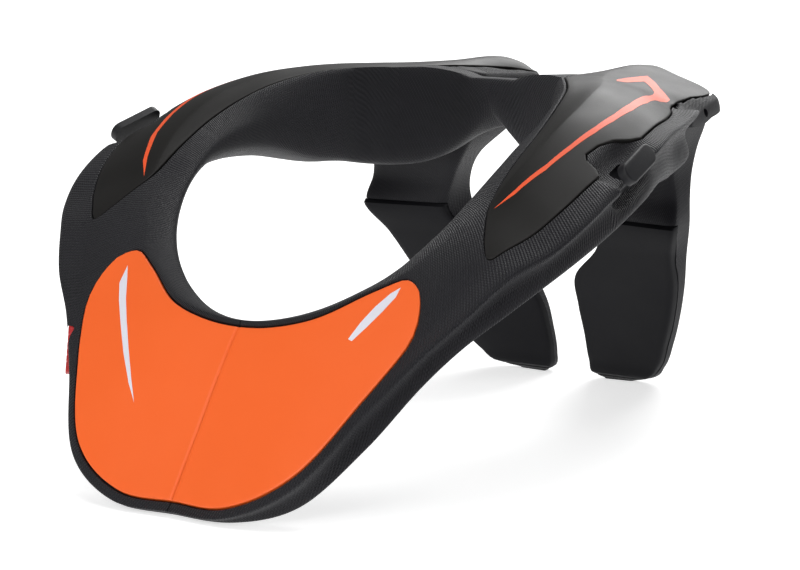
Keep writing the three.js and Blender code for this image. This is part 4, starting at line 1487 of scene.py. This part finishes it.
@dataclass
class BackLegs:
    """The two back supports, with the wings' undersides and the pads on their fronts.

    The tables' plans and heights are hundredths of the deck's sizes. The wing's centre and the hole,
    which is given by its place, radius and depth, are millimetres.
    """

    rows: int = 90
    under_plate: float = 2.9
    flush: float = 0.1
    flush_from: tuple[float, float] = (-0.1, 0.5)
    plate_end: float = 173.4
    rim_round: float = 4.0
    rim_inset: float = 0.05
    corner: float = 0.16
    pad_bottom: float = 1.5
    pad_top: float = 75.0
    pad_step: float = 1.2
    pad_depth: float = 4.4
    pad_share: float = 0.6
    pad_roll: float = 1.6
    pad_roll_reach: float = 1.2
    pad_rows: int = 60
    pad_gap: float = 0.35
    crease: float = 35.0
    hole: tuple[float, float, float, float, float] = (75.5, 121.4, 117.6, 1.7, 6.0)
    wing_centre: PlanPoint = (44.8, 122.7)
    table: Rows = Rows(
        ("z", "fi_x", "fi_y", "fo_x", "fo_y", "bo_x", "bo_y", "bm_x", "bm_y", "bi_x", "bi_y"),
        (
            (0, 12.5, 122.6, 23, 123.4, 24, 126, 19, 126.6, 13, 126),
            (1.5, 9.4, 120.6, 30, 120.6, 31, 125.4, 20, 126.4, 9.8, 126),
            (6, 8, 119.6, 36.8, 117.8, 37.4, 123, 22, 125.2, 8.2, 125),
            (14.8, 7.8, 117, 43.4, 112, 44, 118.4, 25, 122, 8, 122.6),
            (24.5, 8.4, 112.4, 49.4, 106.2, 49.8, 113.2, 28, 118, 8.8, 119.4),
            (34.8, 12, 105.2, 54.4, 100.2, 54.8, 108, 32, 112.6, 12.4, 113.8),
            (45.2, 26, 97, 58, 92.8, 59, 102.6, 41, 106.6, 24, 108),
            (55, 31.6, 89.8, 63.4, 85.6, 61.8, 100, 45, 103.2, 28.6, 104.6),
            (63, 27, 87.4, 62, 88.6, 62, 100, 45, 103, 29, 104),
            (70, 21.4, 84.6, 61.4, 87.4, 61.8, 102, 43, 106, 26.4, 106.4),
            (77, 17, 83.8, 63.6, 85, 61.8, 106, 38, 112, 18.6, 112),
            (84, 13.4, 83.8, 66.4, 84.6, 61.8, 112, 32, 121, 13, 120.6),
        ),
    )
    wing: tuple[PlanPoint, ...] = ((12.8, 83.8), (70, 84.4), (63, 119.6), (31.2, 127.6), (12.4, 125.4))

    def plan(self, corners: Grid) -> Grid:
        """Rounds a five-cornered plan.

        Args:
            corners: Corners as sections by five by two, in hundredths.

        Returns:
            Rounded outlines in millimetres.
        """
        scale = np.array([DECK.half_width, DECK.half_depth]) / 100
        corners = corners * scale
        points = []
        for index in range(5):
            corner = corners[:, index]
            before, after = corners[:, index - 1], corners[:, (index + 1) % 5]
            start = corner + (before - corner) * self.corner
            end = corner + (after - corner) * self.corner
            for share in np.linspace(0, 1, 9):
                lead = start + (corner - start) * share
                leave = corner + (end - corner) * share
                points.append(lead + (leave - lead) * share)
            for share in (0.25, 0.5, 0.75):
                nxt = after + (corner - after) * self.corner
                points.append(end + (nxt - end) * share)
        return np.stack(points, axis=1)

    @staticmethod
    def corner_line(row: dict[str, Grid], key: str) -> Grid:
        """One corner's places in plan, in hundredths."""
        return np.stack([row[f"{key}_x"], row[f"{key}_y"]], axis=-1)

    def sections(self) -> Grid:
        """Closed sections of the left leg, from the floor over the wing's rim to its middle.

        Returns:
            Points as sections by columns by three.
        """
        heights = np.unique(np.concatenate([np.linspace(0, self.table.rows[-1][0], self.rows), [0.3, 0.6]]))
        row = self.table.smooth(heights)
        corners = [self.corner_line(row, key) for key in ("fi", "fo", "bo", "bm", "bi")]
        outline = self.plan(np.stack(corners, axis=1))
        levels = np.repeat(heights[:, None], outline.shape[1], axis=1) * (DECK.crest / 100)
        body = raised(outline, levels)
        wing = self.plan(np.array([self.wing], float))[0]
        top = self.bed(wing)
        last = body[-1]
        loops = [body]
        for share in (0.25, 0.5, 0.75, 1.0):
            blend = smoothstep(0, 1, np.array(share))
            spots = last[:, :2] + (wing - last[:, :2]) * blend
            level = last[:, 2] + (top - self.rim_round - last[:, 2]) * share
            loops.append(raised(spots, level)[None])
        centre = np.array(self.wing_centre)
        for turn in np.linspace(0.15, 1, 7) * math.pi / 2:
            share = 1 - self.rim_inset * (1 - math.cos(turn))
            spots = centre + (wing - centre) * share
            under = self.bed(spots) - self.rim_round * (1 - math.sin(turn))
            loops.append(raised(spots, under)[None])
        for share in (*np.arange(0.946, 0.8, -0.004), 0.6, 0.35, 0.12):
            spots = centre + (wing - centre) * share
            loops.append(raised(spots, self.bed(spots))[None])
        return np.concatenate(loops)

    def bed(self, spots: Grid) -> Grid:
        """Height of the wing's shell, sunk under the plate and flush with it round its border.

        Args:
            spots: Places in plan, in millimetres.

        Returns:
            Heights in millimetres.
        """
        across = 100 * np.abs(spots[:, 0]) / DECK.half_width
        along = 100 * spots[:, 1] / DECK.half_depth
        angle = np.degrees(np.arctan2(across, -along))
        radius = np.hypot(across, along)
        border = SHOULDER_BORDERS.straight(angle)
        outside = radius - DECK.radius_at(angle, border["outer"])
        inside = DECK.radius_at(angle, border["inner"]) - radius
        beyond = np.where(angle > self.plate_end, 1.0, np.maximum(outside, inside))
        depth = self.under_plate + (self.flush - self.under_plate) * smoothstep(*self.flush_from, beyond)
        return DECK.height(spots[:, 0], spots[:, 1]) - depth

    def pad_sections(self, grow: float) -> Grid:
        """Closed sections of the pad on the leg's front.

        Args:
            grow: How much larger it is made on every side.

        Returns:
            Points as sections by columns by three.
        """
        lift = DECK.crest / 100
        low, high = self.pad_bottom - grow / lift, self.pad_top / lift + grow / lift
        heights = np.linspace(low, high, self.pad_rows)
        levels = heights * lift
        row = self.table.smooth(np.clip(heights, self.pad_bottom, None))
        inner, outer = (self.corner_line(row, key) * DECK.half_width / 100 for key in ("fi", "fo"))
        behind = row["bi_y"] * DECK.half_depth / 100
        depth = np.minimum(self.pad_depth, (behind - inner[:, 1]) * self.pad_share)
        inner[:, 0] -= grow
        outer[:, 0] += grow
        from_end = np.clip(np.minimum(heights - low, high - heights) / self.pad_roll_reach, 0, 1)
        ends = self.pad_roll * (1 - from_end) ** 2 * (grow == 0)
        rolls = ((0.0, 1.6), (0.006, 0.9), (0.02, 0.42), (0.045, 0.14), (0.08, 0.0))
        flat = ((0.3, 0.0), (0.5, 0.0), (0.7, 0.0))
        points = []
        for share, drop in (*rolls, *flat, *((1 - share, drop) for share, drop in reversed(rolls))):
            spots = inner + (outer - inner) * share
            front = spots[:, 1] - self.pad_step - grow + drop + ends
            points.append(np.stack([spots[:, 0], front, levels], axis=-1))
        for share in (1.0, 0.75, 0.5, 0.25, 0.0):
            spots = inner + (outer - inner) * share
            back = spots[:, 1] - self.pad_step + depth + grow
            points.append(np.stack([spots[:, 0], back, levels], axis=-1))
        return np.stack(points, axis=1)

    def build(self) -> None:
        """Makes both legs and both pads."""
        left, pad, space = self.sections(), self.pad_sections(0.0), self.pad_sections(self.pad_gap)
        for side in Side:
            grain = self.grain(left)
            leg = Bench.loft(f"back_leg_{side.word}_shell", left * side.flip, grain, angle=self.crease)
            Bench.cut(leg, Bench.loft("pad_space", space * side.flip))
            Bench.cut(leg, self.hole_cutter(side))
            Bench.finish(leg, self.crease)
            Bench.dress(leg, LEG_SKIN, "leg_shell", "brace", f"back_leg_{side.word}")
            cover = Bench.loft(f"leg_pad_{side.word}_cover", pad * side.flip, angle=self.crease)
            Bench.dress(cover, COVER, "leg_cover", "brace", f"leg_pad_{side.word}")

    def hole_cutter(self, side: Side) -> bpy.types.Object:
        """A pin-shaped cutter for the hole in the wing's rim.

        Args:
            side: Which wing.

        Returns:
            The cutter.
        """
        x, y, z, radius, depth = self.hole
        Bench.clear()
        bpy.ops.mesh.primitive_cylinder_add(
            vertices=24,
            radius=radius * MM,
            depth=2 * depth * MM,
            location=Vector(to_frame(np.array([side.value * x, y, z]))),
            rotation=(0, math.pi / 2, 0),
        )
        return bpy.context.object

    @staticmethod
    def grain(sections: Grid) -> Grid:
        """Lengths up and round a leg for its UV map.

        Args:
            sections: The leg's sections.

        Returns:
            One pair for each point and for the closing column.
        """
        across = lengths_round(sections)
        up = np.repeat(close_round(sections)[..., 2].mean(axis=1)[:, None], across.shape[1], axis=1)
        return np.stack([across, up], axis=-1)


@dataclass
class Studio:
    """The pale floor, the soft light and the camera."""

    target: tuple[float, float, float] = (0.0, 0.00714, 0.05887)
    azimuth: float = 36.0
    elevation: float = 10.88
    roll: float = 1.44
    distance: float = 1.2257
    lens: float = 144.0
    sensor: float = 36.0
    clip_end: float = 50.0
    floor_size: float = 12.0
    floor_drop: float = 0.0002
    floor_colour: Colour = (0.8, 0.8, 0.8)
    floor_roughness: float = 0.9
    floor_glow: float = 0.62
    sky_glow: float = 0.22
    lamps: tuple[tuple[str, tuple[float, float, float], float, float], ...] = (
        ("top_back", (-0.3, 1.5, 1.1), 1.2, 22.0),
        ("top", (0.1, 0.0, 1.7), 1.0, 9.0),
        ("front", (0.2, -1.7, 1.0), 1.2, 15.0),
    )

    def camera(self) -> None:
        """Sets the camera at the photograph's angle."""
        turn, lift = math.radians(self.azimuth), math.radians(self.elevation)
        back = Vector((math.sin(turn) * math.cos(lift), -math.cos(turn) * math.cos(lift), math.sin(lift)))
        right = Vector((math.cos(turn), math.sin(turn), 0))
        up = back.cross(right)
        roll = math.radians(self.roll)
        side = right * math.cos(roll) - up * math.sin(roll)
        head = right * math.sin(roll) + up * math.cos(roll)
        lens = bpy.data.cameras.new("camera")
        lens.lens = self.lens
        lens.sensor_width = self.sensor
        lens.clip_end = self.clip_end
        camera = bpy.data.objects.new("camera", lens)
        bpy.context.scene.collection.objects.link(camera)
        turned = Matrix((side, head, back)).transposed().to_4x4()
        camera.matrix_world = Matrix.Translation(Vector(self.target) + back * self.distance) @ turned
        bpy.context.scene.camera = camera

    def light(self, name: str, place: Vector, size: float, power: float) -> None:
        """Adds a large square light that looks at the brace.

        Args:
            name: Its name.
            place: Where it hangs, in metres.
            size: Its side.
            power: Its strength in watts.
        """
        lamp = bpy.data.lights.new(name, "AREA")
        lamp.size = size
        lamp.energy = power
        holder = bpy.data.objects.new(name, lamp)
        bpy.context.scene.collection.objects.link(holder)
        facing = (place - Vector(self.target)).normalized()
        turned = facing.to_track_quat("Z", "Y").to_matrix().to_4x4()
        holder.matrix_world = Matrix.Translation(place) @ turned

    def build(self) -> None:
        """Makes the floor, the light and the camera."""
        Bench.clear()
        bpy.ops.mesh.primitive_plane_add(size=self.floor_size, location=(0, 0, -self.floor_drop))
        floor = bpy.context.object
        floor.name = "studio_floor"
        board = Board("studio_floor")
        board.set(
            Base_Color=(*self.floor_colour, 1.0),
            Roughness=self.floor_roughness,
            Emission_Color=(1.0, 1.0, 1.0, 1.0),
            Emission_Strength=self.floor_glow,
        )
        floor.data.materials.append(board.material)
        world = bpy.data.worlds.new("studio")
        world.use_nodes = True
        sky = world.node_tree.nodes["Background"]
        sky.inputs["Color"].default_value = (1.0, 1.0, 1.0, 1.0)
        sky.inputs["Strength"].default_value = self.sky_glow
        bpy.context.scene.world = world
        for name, place, size, power in self.lamps:
            self.light(name, Vector(place), size, power)
        bpy.context.scene.view_settings.view_transform = "Standard"
        self.camera()


LINE_EDGES: tuple[tuple[PlanPoint, PlanPoint], ...] = (
    ((80.6, -31), (80.6, -31)),
    ((84.9, -23.5), (85.8, -25.2)),
    ((90, -11.1), (91.3, -13.6)),
    ((92.2, 1.2), (93.8, -1.6)),
    ((93.4, 16.3), (95.6, 12.4)),
    ((92.8, 30), (95.8, 24.6)),
    ((90.4, 44.9), (94.3, 40.7)),
    ((87.5, 55.4), (90.6, 56.8)),
    ((81.2, 72.9), (83, 76)),
    ((74.5, 86.2), (77, 91.3)),
    ((68.3, 98.3), (72.2, 103.4)),
    ((64.5, 101.5), (65.7, 106.8)),
    ((59.3, 105.6), (51.1, 121.5)),
    ((60, 98), (51.6, 115.2)),
    ((61.3, 90.2), (54.1, 101.1)),
    ((61.3, 82.3), (58.3, 87.1)),
)
LONG_STRIPE: tuple[tuple[PlanPoint, PlanPoint], ...] = (
    ((62.3, -63.6), (62.3, -63.6)),
    ((62, -68.9), (59.3, -67.6)),
    ((58.1, -74.1), (55.2, -73.5)),
    ((52.2, -80.5), (50, -79.6)),
    ((44.6, -88.3), (43.3, -86.9)),
    ((36.7, -95.3), (36.5, -94)),
    ((31.1, -99.2), (31.1, -99.2)),
)
SHORT_STRIPE: tuple[tuple[PlanPoint, PlanPoint], ...] = (
    ((61, -61), (61, -61)),
    ((58.2, -63.1), (60.9, -64)),
    ((54.7, -67.5), (58.2, -68.8)),
    ((51.7, -72.5), (54.9, -73.4)),
    ((49.6, -77.3), (51.4, -77.6)),
)


def main() -> None:
    """Builds every piece in order."""
    logging.basicConfig(level=logging.INFO, format="%(message)s")
    Padding().build()
    Plate("chest_plate", CHEST_BORDERS, ORANGE_PLATE, "orange_plate", 48.35, 0.2).build()
    Plate("shoulder_plate", SHOULDER_BORDERS, DARK_PLATE, "dark_plate", 173.5, 0.0).build()
    Inlay("orange_line", LINE_EDGES, ORANGE_LINE, "orange_plate", 0.0).build()
    Inlay("long_stripe", LONG_STRIPE, WHITE_STRIPE, "orange_plate", 0.2, (Side.RIGHT,)).build()
    Inlay("short_stripe", SHORT_STRIPE, WHITE_STRIPE, "orange_plate", 0.2, (Side.LEFT,)).build()
    BackLegs().build()
    StrapTabs().build()
    ReleaseButton().build()
    Clasp().build()
    Studio().build()


if __name__ == "__main__":
    main()
